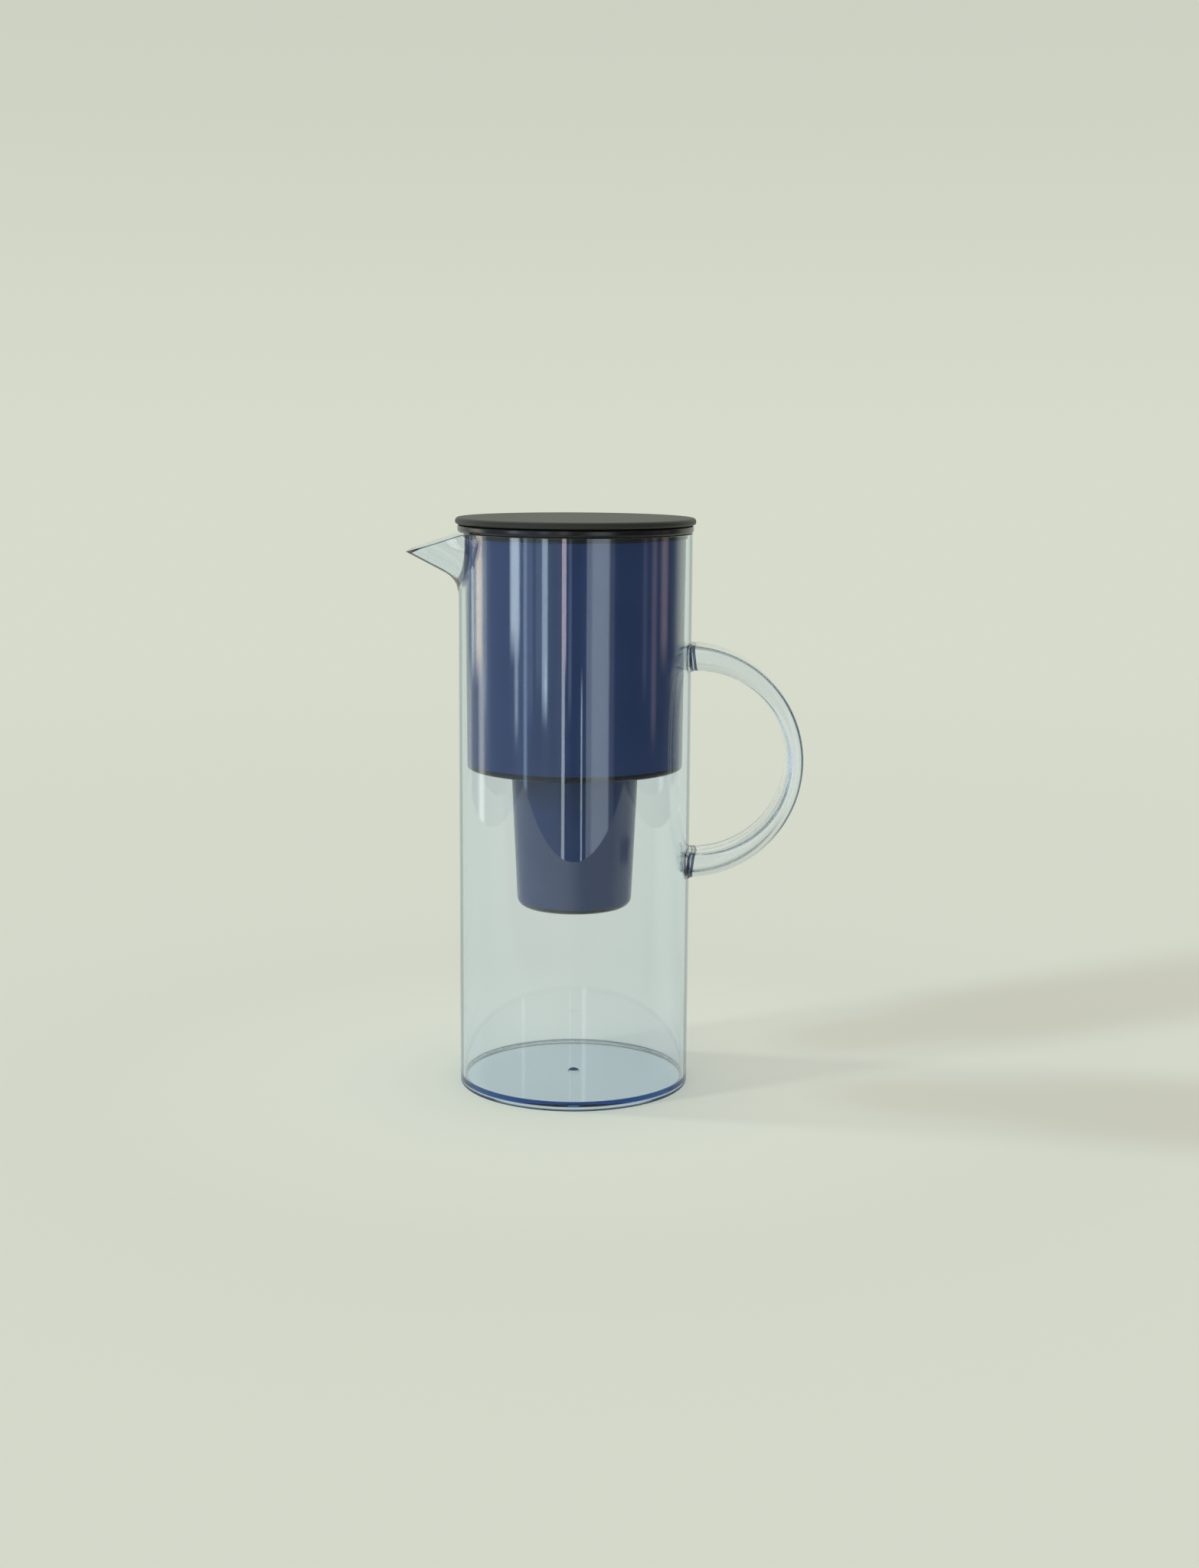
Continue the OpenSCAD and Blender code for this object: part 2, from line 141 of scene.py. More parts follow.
class CartridgeSizes(bpy.types.PropertyGroup):
    wall: length("Wall", 0.0015, "Thickness of the cartridge's wall")
    gap: length("Gap", 0.0005, "Gap between the cartridge and the cup")
    floor: length("Floor thickness", 0.002, "Thickness of the cartridge's floor")
    flange: length("Flange thickness", 0.002, "Thickness of the cartridge's flange")
    foot_edge: length("Foot rounding", 0.0045, "Rounding of the cartridge's lower edge")
    slot_margin: length("Slot margin", 0.007, "Distance of the slots' ends from the outside")
    cap_top: length("Cap height", 0.1912, "Height of the cap's flat top")
    cap_flat: length("Cap flat radius", 0.0240, "Radius of the cap's flat top")
    cap_wall: length("Cap wall", 0.0018, "Thickness of the cap")
    cap_rim: length("Cap rim", 0.002, "Thickness of the cap's rim")
    spigot: length("Spigot depth", 0.003, "Depth of the cap's spigot in the cartridge")
    mesh_pitch: length("Screen pitch", 0.0014, "Distance between the strands of the screens")
    strand: length("Screen strand", 0.00034, "Thickness of a strand of the screens")
    mesh_rim: length("Screen rim", 0.0016, "Width of the ring round each screen")
    granule: length("Granule depth", 0.0006, "Depth of the hollows between the granules")


class PullSizes(bpy.types.PropertyGroup):
    hinge_x: length("Hinge place", 0.013, "Distance of the hinge from the axis")
    hinge_z: length("Hinge height", 0.1938, "Height of the hinge")
    reach: length("Length", 0.026, "Length of the loop from its hinge")
    half: length("Half width", 0.0126, "Half the width of the loop")
    bar: length("Bar width", 0.003, "Width of the loop's bar")
    thick: length("Bar thickness", 0.0026, "Thickness of the loop's bar")
    edge: length("Bar rounding", 0.0007, "Rounding of the loop's bar")
    pin: length("Pin radius", 0.0012, "Radius of the hinge pins")
    boss: length("Boss radius", 0.0022, "Radius of the hinge bosses")
    lug: length("Lug thickness", 0.003, "Thickness of the cap's hinge lugs")
    lug_wall: length("Lug wall", 0.0008, "Width of a lug past the boss")
    gap: length("Side gap", 0.0004, "Gap between the loop and the lugs")
    pin_gap: length("Pin gap", 0.00006, "Gap between a pin and its bore")


class StageLook(bpy.types.PropertyGroup):
    backdrop: colour("Backdrop", (0.679, 0.708, 0.604), "Colour of the sweep behind the jug")
    floor: colour("Floor", (0.665, 0.694, 0.597), "Colour of the floor")
    # Painted light: the paper is painted palest under the jug, for light that the clear plastic lets
    # through
    under: colour("Floor under the jug", (0.87, 0.90, 0.82), "Colour of the floor under the jug")
    fill: colour("Fill", (0.78, 0.725, 0.69), "Colour of the soft light from all round")
    lamp: colour("Lamps", (0.71, 0.90, 1.0), "Colour of the two lamps on the left")


class Finishes(bpy.types.PropertyGroup):
    tint: colour("Clear tint", (0.0, 0.43, 0.76), "Colour that the clear plastic lets through")
    # Painted shade on the clear jug, down to the gate: each colour darkens the clear plastic where
    # refraction and the mirrored room make it look dark, at the outline, the spout's rim, root and
    # underside, the foot, the floor's corner and the gate; the base's colour is a painted contact
    # shadow along the bottom edge
    outline_painted_shade: colour("Side line", (0.20, 0.23, 0.27), "Tint at the jug's outline")
    spout_rim_painted_shade: colour("Rim line", (0.05, 0.06, 0.06), "Tint along the spout's rim")
    spout_root_painted_shade: colour("Root line", (0.12, 0.14, 0.17), "Tint where the spout leaves the wall")
    foot_painted_shade: colour("Foot line", (0.02, 0.04, 0.09), "Tint at the sides of the foot")
    corner_painted_shade: colour("Corner line", (0.52, 0.56, 0.60), "Tint where the floor meets the wall")
    base_painted_shadow: colour("Base line", (0.04, 0.055, 0.08), "Tint along the bottom edge")
    keel_painted_shade: colour("Keel line", (0.60, 0.72, 0.90), "Tint along the spout's underside")
    gate_painted_shade: colour("Gate", (0.09, 0.22, 0.40), "Tint of the gate's mark")
    # Painted shade on the clear handle: these darken its plastic along its edges and in two bars at
    # the weld, where refraction makes it look dark
    handle_edge_painted_shade: colour("Handle line", (0.09, 0.125, 0.15), "Tint along the handle's outer edge")
    grip_edge_painted_shade: colour("Grip line", (0.85, 0.87, 0.88), "Tint along the handle's inner edge")
    weld_painted_shade: colour("Weld line", (0.03, 0.05, 0.12), "Tint of the weld next to the wall")
    weld_bar_painted_shade: colour("Weld bar", (0.012, 0.02, 0.05), "Tint of the bar beside the weld")
    funnel: colour("Funnel", (0.018, 0.044, 0.14), "Colour of the funnel's plastic")
    edge: colour("Funnel edge", (0.006, 0.0065, 0.007), "Colour of the funnel's edges and rim ring")
    lid: colour("Lid", (0.037, 0.039, 0.032), "Colour of the lid's plastic")
    seal: colour("Seal", (0.014, 0.014, 0.014), "Colour of the soft seals")
    cartridge: colour("Cartridge", (0.72, 0.74, 0.75), "Colour of the cartridge's plastic")
    cap: colour("Cap", (0.42, 0.52, 0.62), "Colour of the cap's plastic")
    screen: colour("Screen", (0.60, 0.62, 0.63), "Colour of the woven screens")
    granules: colour("Granules", (0.022, 0.020, 0.018), "Colour of the filter bed")


# Cloudiness, roughness, scale of the grain and depth of the grain of each moulded finish
GRAINS = {
    "funnel_plastic": (0.06, 0.22, 1800.0, 0.00001),
    "seal_rubber": (0.1, 0.55, 900.0, 0.00005),
    "lid_plastic": (0.06, 0.5, 2600.0, 0.00004),
    "plug_plastic": (0.05, 0.38, 1600.0, 0.00002),
    "cartridge_plastic": (0.03, 0.4, 1200.0, 0.00002),
    "cap_plastic": (0.04, 0.35, 1200.0, 0.00002),
    "screen_mesh": (0.08, 0.5, 2500.0, 0.00003),
}
WHITE = (1, 1, 1)
REFRACTION = 1.57
JUG_DENSITY = 36.0
HANDLE_DENSITY = 4.5
# Share of a lamp's light and of scattered light that passes each face of the clear plastic
LAMP_PASS = (0.88, 0.88, 0.88)
SCATTER_PASS = (0.94, 0.94, 0.94)
# Faint waviness of the clear plastic's faces
WAVE_SCALE = 18.0
WAVE_STRENGTH = 0.05
WAVE_DEPTH = 0.0004
CLOUD_SCALE = 35.0
GRAIN_STRENGTH = 0.25
GRANULE_SCALE = 900.0

# Slots in the floors of the cup and the cartridge, and how far a cut reaches past a solid
SLOTS = 8
SLOT_START = 0.009
SLOT_WIDTH = 0.004
OVERCUT = 0.001

# Light panels of the studio, as the jug's surfaces mirror them: first and last azimuth from the
# camera's side in degrees, soft edge, lowest and highest slope, and level
PANELS = (
    (-129.5, -124.0, 2.0, -0.30, -0.11, (0.55, 0.52, 0.42)),
    (-122.5, -118.5, 1.5, -0.11, 0.10, (1.9, 2.1, 2.1)),
    (-115.0, -103.5, 3.0, -0.11, 0.10, (2.9, 2.45, 1.8)),
    (-110.0, -101.5, 2.0, -0.30, -0.11, (1.4, 1.4, 1.2)),
    (-101.0, -98.0, 1.0, -0.13, 0.02, (0.6, 0.9, 0.9)),
    (-66.0, -56.0, 2.0, -0.10, 0.10, (3.0, 3.5, 3.8)),
    (-61.0, -57.5, 1.2, -0.14, -0.10, (1.6, 1.9, 2.1)),
    (-51.2, -47.8, 1.2, -0.30, 0.10, (1.0, 1.4, 1.8)),
    (-47.5, -41.5, 1.0, -0.13, 0.10, (0.25, 0.3, 0.4)),
    (-38.5, -32.0, 1.0, -0.12, 0.10, (0.25, 0.3, 0.4)),
    (-32.0, -26.5, 1.4, -0.13, 0.10, (2.0, 2.5, 2.8)),
    (-29.0, -27.6, 0.8, -0.13, -0.11, (1.7, 2.0, 2.2)),
    (-12.4, -8.2, 0.7, -0.11, 0.50, (3.0, 2.5, 2.7)),
    (-12.4, -9.4, 0.7, -0.30, -0.11, (2.3, 2.6, 2.7)),
    (-6.0, -2.8, 0.8, -0.13, 0.10, (0.3, 0.4, 0.5)),
    (4.2, 5.6, 0.6, 0.18, 0.50, (2.4, 2.5, 2.5)),
    (6.4, 7.9, 0.6, -0.30, -0.12, (2.2, 2.5, 2.6)),
    (11.6, 34.2, 1.2, -0.30, 0.10, (0.75, 0.85, 0.95)),
    (16.8, 34.2, 3.0, -0.30, 0.10, (0.5, 0.55, 0.6)),
    (34.2, 39.6, 0.8, -0.30, 0.10, (0.2, 0.22, 0.25)),
    (56.0, 59.4, 0.8, 0.18, 0.50, (2.4, 2.5, 2.5)),
    (71.0, 75.0, 1.5, -0.12, 0.10, (0.25, 0.22, 0.28)),
    (82.0, 87.5, 2.0, -0.14, 0.10, (0.45, 0.36, 0.36)),
    (94.5, 103.5, 2.5, -0.105, 0.10, (0.65, 0.45, 0.40)),
)
PANEL_SOFT_SLOPE = 0.024
ROOM_LEFT = (0.29, 0.33, 0.37)
ROOM_RIGHT = (0.07, 0.075, 0.085)
# Azimuths between which the mirrored room turns dark, and past which it shows the backdrop
ROOM_CHANGE = (-15.0, -8.0)
BACKDROP_LEFT = (-128.0, -133.0)
BACKDROP_RIGHT = (113.0, 128.0)
# Slopes between which the backdrop dims, and by how much
BACKDROP_SLOPES = (-0.03, 0.2)
BACKDROP_DIM = 0.9
# Dark flags on both sides that draw the edges of the clear plastic: first and last azimuth
FLAGS = ((56.0, 80.0), (99.0, 119.0))
FLAG_SOFT = 4.0

FLOOR_RADIUS = 6.0
# Distances from the axis at which the paper turns into the backdrop, and at which painted light makes
# it lighter near the jug or palest under it
PAPER_FAR = (0.7, 2.2)
PAINTED_LIGHT_NEAR = (0.30, 0.08)
PAINTED_LIGHT_UNDER = (0.064, 0.06)
PAINTED_LIGHT_NEAR_GAIN = 1.10
# Painted light: gain on the paper's colour where it is seen through the clear plastic
PAINTED_LIGHT_SEEN_THROUGH = (1.045, 1.05, 1.075)
# Part of the paper to the right and in front that is painted darker where the jug mirrors it: painted
# shade for the table's sheen, which is weaker away from the lamps
DIM_RIGHT = (-0.12, 0.12)
DIM_FRONT = (0.0, -0.1)
DIM_GAIN = 0.55
# Ends of the table, as the jug mirrors it
TABLE_FRONT = -0.73
TABLE_SIDE = 0.85

CAMERA_LENS = 50.742
CAMERA_PLACE = (0.01352, -1.18824, 0.36179)
CAMERA_TILT = math.radians(80.625)
CAMERA_ROLL = math.radians(0.331)
# Directions in which the two lamps shine, from the X axis
LAMPS = {"near_lamp": math.radians(28.0), "far_lamp": math.radians(-10.0)}
LAMP_FALL = math.radians(30.0)
LAMP_SPREAD = math.radians(8.0)
LAMP_STRENGTH = 0.97


def feed(tree, socket, value):
    """Link a socket to another one, or set it to a number or a colour."""
    if isinstance(value, bpy.types.NodeSocket):
        tree.links.new(value, socket)
    elif isinstance(value, (int, float)):
        socket.default_value = value
    elif socket.type == "RGBA":
        socket.default_value = (*value, 1)
    else:
        socket.default_value = tuple(value)


def add_node(tree, kind, inputs, **settings):
    node = tree.nodes.new("ShaderNode" + kind)
    for name, value in settings.items():
        setattr(node, name, value)
    for key, value in inputs.items():
        feed(tree, node.inputs[key], value)
    return node


def maths(tree, operation, *values):
    return add_node(tree, "Math", dict(enumerate(values)), operation=operation).outputs["Value"]


def product(tree, first, *others):
    for other in others:
        first = maths(tree, "MULTIPLY", first, other)
    return first


def vectors(tree, operation, *values):
    node = add_node(tree, "VectorMath", dict(enumerate(values)), operation=operation)
    return node.outputs["Vector"]


def distance(tree, first, second):
    squares = [product(tree, value, value) for value in (first, second)]
    return maths(tree, "SQRT", maths(tree, "ADD", *squares))


def soft_step(tree, value, start, end):
    """0 before start, 1 past end, with a smooth change; start may be the higher one."""
    inputs = {"Value": value, "From Min": start, "From Max": end}
    return add_node(tree, "MapRange", inputs, interpolation_type="SMOOTHSTEP").outputs["Result"]


def band(tree, value, start, end, soft):
    """1 between start and end, 0 outside, with soft sides."""
    return product(
        tree,
        soft_step(tree, value, start - soft / 2, start + soft / 2),
        soft_step(tree, value, end + soft / 2, end - soft / 2),
    )


def blend_colours(tree, share, first, second):
    mix = add_node(tree, "Mix", {"Factor": share}, data_type="RGBA")
    tones = [socket for socket in mix.inputs if socket.type == "RGBA"]
    for socket, value in zip(tones, (first, second)):
        feed(tree, socket, value)
    return next(socket for socket in mix.outputs if socket.type == "RGBA")


def deepen(tree, lines):
    """White, changed to each line's shade by the product of the line's shares."""
    tone = WHITE
    for shade, *shares in lines:
        tone = blend_colours(tree, product(tree, *shares), tone, shade)
    return tone


def blend_shaders(tree, share, first, second):
    return add_node(tree, "MixShader", {0: share, 1: first, 2: second}).outputs["Shader"]


def see_through(tree, tone):
    return add_node(tree, "BsdfTransparent", {"Color": tone}).outputs["BSDF"]


def new_material(name):
    mat = bpy.data.materials.new(name)
    mat.use_nodes = True
    nodes = mat.node_tree.nodes
    return mat, mat.node_tree, nodes["Principled BSDF"], nodes["Material Output"]


def link_place(tree, kind="Object"):
    """X, Y and Z of a point in the jug's frame, or of a direction in the world."""
    place = tree.nodes.new("ShaderNodeTexCoord")
    parts = add_node(tree, "SeparateXYZ", {0: place.outputs[kind]})
    return [parts.outputs[axis] for axis in "XYZ"]


def link_entry(tree):
    """1 where a surface is seen from outside its solid, 0 from inside."""
    surface = tree.nodes.new("ShaderNodeNewGeometry")
    return maths(tree, "SUBTRACT", 1.0, surface.outputs["Backfacing"])


def link_mirrored(tree, path):
    """1 for light that a surface has mirrored on its way to the camera."""
    return maths(tree, "GREATER_THAN", path.outputs["Glossy Depth"], 0.5)


def link_noise(tree, scale, detail):
    place = tree.nodes.new("ShaderNodeTexCoord").outputs["Object"]
    inputs = {"Vector": place, "Scale": scale, "Detail": detail, "Roughness": 0.55}
    return add_node(tree, "TexNoise", inputs).outputs["Fac"]


def link_range(tree, value, least, most):
    inputs = {"Value": value, "To Min": least, "To Max": most}
    return add_node(tree, "MapRange", inputs).outputs["Result"]


def link_bump(tree, height, shader, strength, depth):
    inputs = {"Height": height, "Strength": strength, "Distance": depth}
    feed(tree, shader.inputs["Normal"], add_node(tree, "Bump", inputs).outputs["Normal"])


def link_shades(tree, value, shader, base, spread):
    ramp = add_node(tree, "ValToRGB", {"Fac": value})
    dark, light = ramp.color_ramp.elements
    dark.position, light.position = 0.3, 0.7
    dark.color = (*[c * (1 - spread) for c in base], 1)
    light.color = (*[min(1, c * (1 + spread)) for c in base], 1)
    feed(tree, shader.inputs["Base Color"], ramp.outputs["Color"])


def moulded_plastic(name, base):
    """Moulded plastic with a fine grain and a little cloudiness in its colour."""
    spread, rough, grain, depth = GRAINS[name]
    mat, tree, shader, _ = new_material(name)
    link_shades(tree, link_noise(tree, CLOUD_SCALE, 2.0), shader, base, spread)
    fine = link_noise(tree, grain, 2.0)
    feed(tree, shader.inputs["Roughness"], link_range(tree, fine, rough * 0.8, rough * 1.2))
    link_bump(tree, fine, shader, GRAIN_STRENGTH, depth)
    return mat


def repaint(mat, share, shade):
    """Blend a finish's colour into another one."""
    tree = mat.node_tree
    tone = tree.nodes["Principled BSDF"].inputs["Base Color"]
    feed(tree, tone, blend_colours(tree, share, tone.links[0].from_socket, shade))


def clear_plastic(name, tint, density):
    """Clear tinted plastic: light is taken by the depth that it crosses."""
    mat, tree, shader, output = new_material(name)
    feed(tree, shader.inputs["Base Color"], WHITE)
    feed(tree, shader.inputs["Transmission Weight"], 1.0)
    feed(tree, shader.inputs["IOR"], REFRACTION)
    feed(tree, shader.inputs["Roughness"], 0.0)
    link_bump(tree, link_noise(tree, WAVE_SCALE, 1.0), shader, WAVE_STRENGTH, WAVE_DEPTH)
    path = tree.nodes.new("ShaderNodeLightPath").outputs
    shown = shader.outputs["BSDF"]
    shown = blend_shaders(tree, path["Is Diffuse Ray"], shown, see_through(tree, SCATTER_PASS))
    shown = blend_shaders(tree, path["Is Shadow Ray"], shown, see_through(tree, LAMP_PASS))
    feed(tree, output.inputs["Surface"], shown)
    depth = add_node(tree, "VolumeAbsorption", {"Color": tint, "Density": density})
    feed(tree, output.inputs["Volume"], depth.outputs["Volume"])
    return mat


def granule_bed(name, base):
    """Packed dark granules of about a millimetre."""
    mat, tree, shader, _ = new_material(name)
    place = tree.nodes.new("ShaderNodeTexCoord").outputs["Object"]
    inputs = {"Vector": place, "Scale": GRANULE_SCALE}
    cells = add_node(tree, "TexVoronoi", inputs).outputs["Distance"]
    link_shades(tree, cells, shader, base, 0.6)
    feed(tree, shader.inputs["Roughness"], 0.6)
    link_bump(tree, cells, shader, 0.8, 0.0006)
    return mat


def sweep_paper(look):
    """Pale paper that runs out into the colour of the backdrop, with painted light near and under the
    jug and where it is seen through the clear plastic, and painted shade where the jug mirrors it.
    """
    mat, tree, shader, output = new_material("sweep_paper")
    feed(tree, shader.inputs["Roughness"], 0.9)
    feed(tree, shader.inputs["Specular IOR Level"], 0.0)
    x, y, _ = link_place(tree)
    reach = distance(tree, x, y)
    path = tree.nodes.new("ShaderNodeLightPath")
    mirrored = link_mirrored(tree, path)
    # Painted light where the paper is seen through the clear plastic
    through = blend_colours(tree, path.outputs["Is Transmission Ray"], WHITE, PAINTED_LIGHT_SEEN_THROUGH)
    # Painted light: the paper is lighter near the jug and palest under it
    near = soft_step(tree, reach, *PAINTED_LIGHT_NEAR)
    paper = blend_colours(tree, near, look.floor, [c * PAINTED_LIGHT_NEAR_GAIN for c in look.floor])
    paper = blend_colours(tree, soft_step(tree, reach, *PAINTED_LIGHT_UNDER), paper, look.under)
    paper = vectors(tree, "MULTIPLY", paper, through)
    # Painted shade: the paper is darker where the jug mirrors it to the right and in front
    dim = product(tree, soft_step(tree, x, *DIM_RIGHT), soft_step(tree, y, *DIM_FRONT), mirrored)
    paper = blend_colours(tree, dim, paper, [c * DIM_GAIN for c in look.floor])
    feed(tree, shader.inputs["Base Color"], paper)
    far = add_node(tree, "Emission", {"Color": vectors(tree, "MULTIPLY", look.backdrop, through)})
    fade = soft_step(tree, reach, *PAPER_FAR)
    sheet = blend_shaders(tree, fade, shader.outputs["BSDF"], far.outputs["Emission"])
    aside = maths(tree, "GREATER_THAN", maths(tree, "ABSOLUTE", x), TABLE_SIDE)
    ahead = maths(tree, "LESS_THAN", y, TABLE_FRONT)
    past = product(tree, maths(tree, "MAXIMUM", aside, ahead), mirrored)
    sheet = blend_shaders(tree, past, sheet, see_through(tree, WHITE))
    feed(tree, output.inputs["Surface"], sheet)
    return mat


def make_mesh(name, bm):
    mesh = bpy.data.meshes.new(name)
    bm.to_mesh(mesh)
    bm.free()
    return mesh


def add_piece(name, bm, mat, body, nodes, sharp=40.0):
    mesh = make_mesh(name, bm)
    mesh.shade_smooth()
    mesh.set_sharp_from_angle(angle=math.radians(sharp))
    mesh.materials.append(mat)
    piece = bpy.data.objects.new(name, mesh)
    bpy.context.scene.collection.objects.link(piece)
    flat = piece.modifiers.new("flat_faces", "WEIGHTED_NORMAL")
    flat.keep_sharp = True
    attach(piece, body)
    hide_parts(*nodes)
    return piece


def combine(bm, tools, operation):
    """Join the tools to a solid, or cut them out of it."""
    scene = bpy.context.scene
    work = bpy.data.objects.new("blank", make_mesh("blank", bm))
    scene.collection.objects.link(work)
    used = [work]
    for tool in tools:
        bmesh.ops.recalc_face_normals(tool, faces=tool.faces[:])
        cutter = bpy.data.objects.new("tool", make_mesh("tool", tool))
        scene.collection.objects.link(cutter)
        used.append(cutter)
        step = work.modifiers.new("combine", "BOOLEAN")
        step.operation = operation
        step.solver = "EXACT"
        step.object = cutter
    done = work.evaluated_get(bpy.context.evaluated_depsgraph_get())
    result = bmesh.new()
    result.from_mesh(done.to_mesh())
    done.to_mesh_clear()
    for ob in used:
        mesh = ob.data
        bpy.data.objects.remove(ob)
        bpy.data.meshes.remove(mesh)
    bmesh.ops.remove_doubles(result, verts=result.verts[:], dist=1e-7)
    return result


def round_off(bm, geom, offset, segments, affect):
    """Round corner points of an outline, or edges of a solid."""
    return bmesh.ops.bevel(
        bm,
        geom=geom,
        offset=offset,
        offset_type="OFFSET",
        segments=segments,
        profile=0.5,
        affect=affect,
        material=-1,
    )


def closed_outline(bm, points):
    verts = [bm.verts.new(point) for point in points]
    for i, vert in enumerate(verts):
        bm.edges.new((verts[i - 1], vert))
    return verts


def lathe(corners, steps=192, segments=4):
    """Solid of revolution about Z from corners of radius, height and rounding."""
    bm = bmesh.new()
    verts = [bm.verts.new((r, 0.0, z)) for r, z, _ in corners]
    for pair in zip(verts, verts[1:]):
        bm.edges.new(pair)
    if corners[0][0] > 0 or corners[-1][0] > 0:
        bm.edges.new((verts[-1], verts[0]))
    for vert, (_, _, rounding) in zip(verts, corners):
        if rounding > 0:
            round_off(bm, [vert], rounding, segments, "VERTICES")
    bmesh.ops.spin(
        bm,
        geom=bm.verts[:] + bm.edges[:],
        cent=(0, 0, 0),
        axis=(0, 0, 1),
        angle=math.tau,
        steps=steps,
        use_merge=True,
    )
    bmesh.ops.remove_doubles(bm, verts=bm.verts[:], dist=1e-7)
    bmesh.ops.recalc_face_normals(bm, faces=bm.faces[:])
    return bm


def radial_slots(count, inner, outer, width, bottom, top):
    """Round-ended bars in a star, to cut slots through a floor."""
    bm = bmesh.new()
    size = Matrix.Diagonal((outer - inner, width, top - bottom, 1))
    place = Matrix.Translation(((inner + outer) / 2, 0, (bottom + top) / 2))
    for i in range(count):
        verts = bmesh.ops.create_cube(bm, size=1.0, matrix=place @ size)["verts"]
        upright = {
            e for v in verts for e in v.link_edges if abs(e.verts[0].co.z - e.verts[1].co.z) > 1e-6
        }
        made = round_off(bm, list(upright), width * 0.45, 4, "EDGES")["verts"]
        kept = {v for v in verts if v.is_valid} | set(made)
        turn = Matrix.Rotation(math.tau * i / count, 3, "Z")
        bmesh.ops.rotate(bm, verts=list(kept), cent=(0, 0, 0), matrix=turn)
    return bm


def slot_floor(bm, reach, bottom, top):
    """Cut the star of slots through the floor of a cup."""
    bottom, top = bottom - OVERCUT, top + OVERCUT
    slots = radial_slots(SLOTS, SLOT_START, reach, SLOT_WIDTH, bottom, top)
    return combine(bm, [slots], "DIFFERENCE")


def square_ring(inner, outer, bottom, top, rounding, steps):
    """Ring with a rectangular section and rounded edges."""
    corners = [(inner, bottom), (outer, bottom), (outer, top), (inner, top)]
    return lathe([(r, z, rounding) for r, z in corners], steps)


def cross_bar(radius, y_low, y_high, x, z, segments):
    """Round bar along Y."""
    bm = bmesh.new()
    place = Matrix.Translation((x, (y_low + y_high) / 2, z))
    bmesh.ops.create_cone(
        bm,
        cap_ends=True,
        segments=segments,
        radius1=radius,
        radius2=radius,
        depth=y_high - y_low,
        matrix=place @ Matrix.Rotation(math.pi / 2, 4, "X"),
    )
    return bm


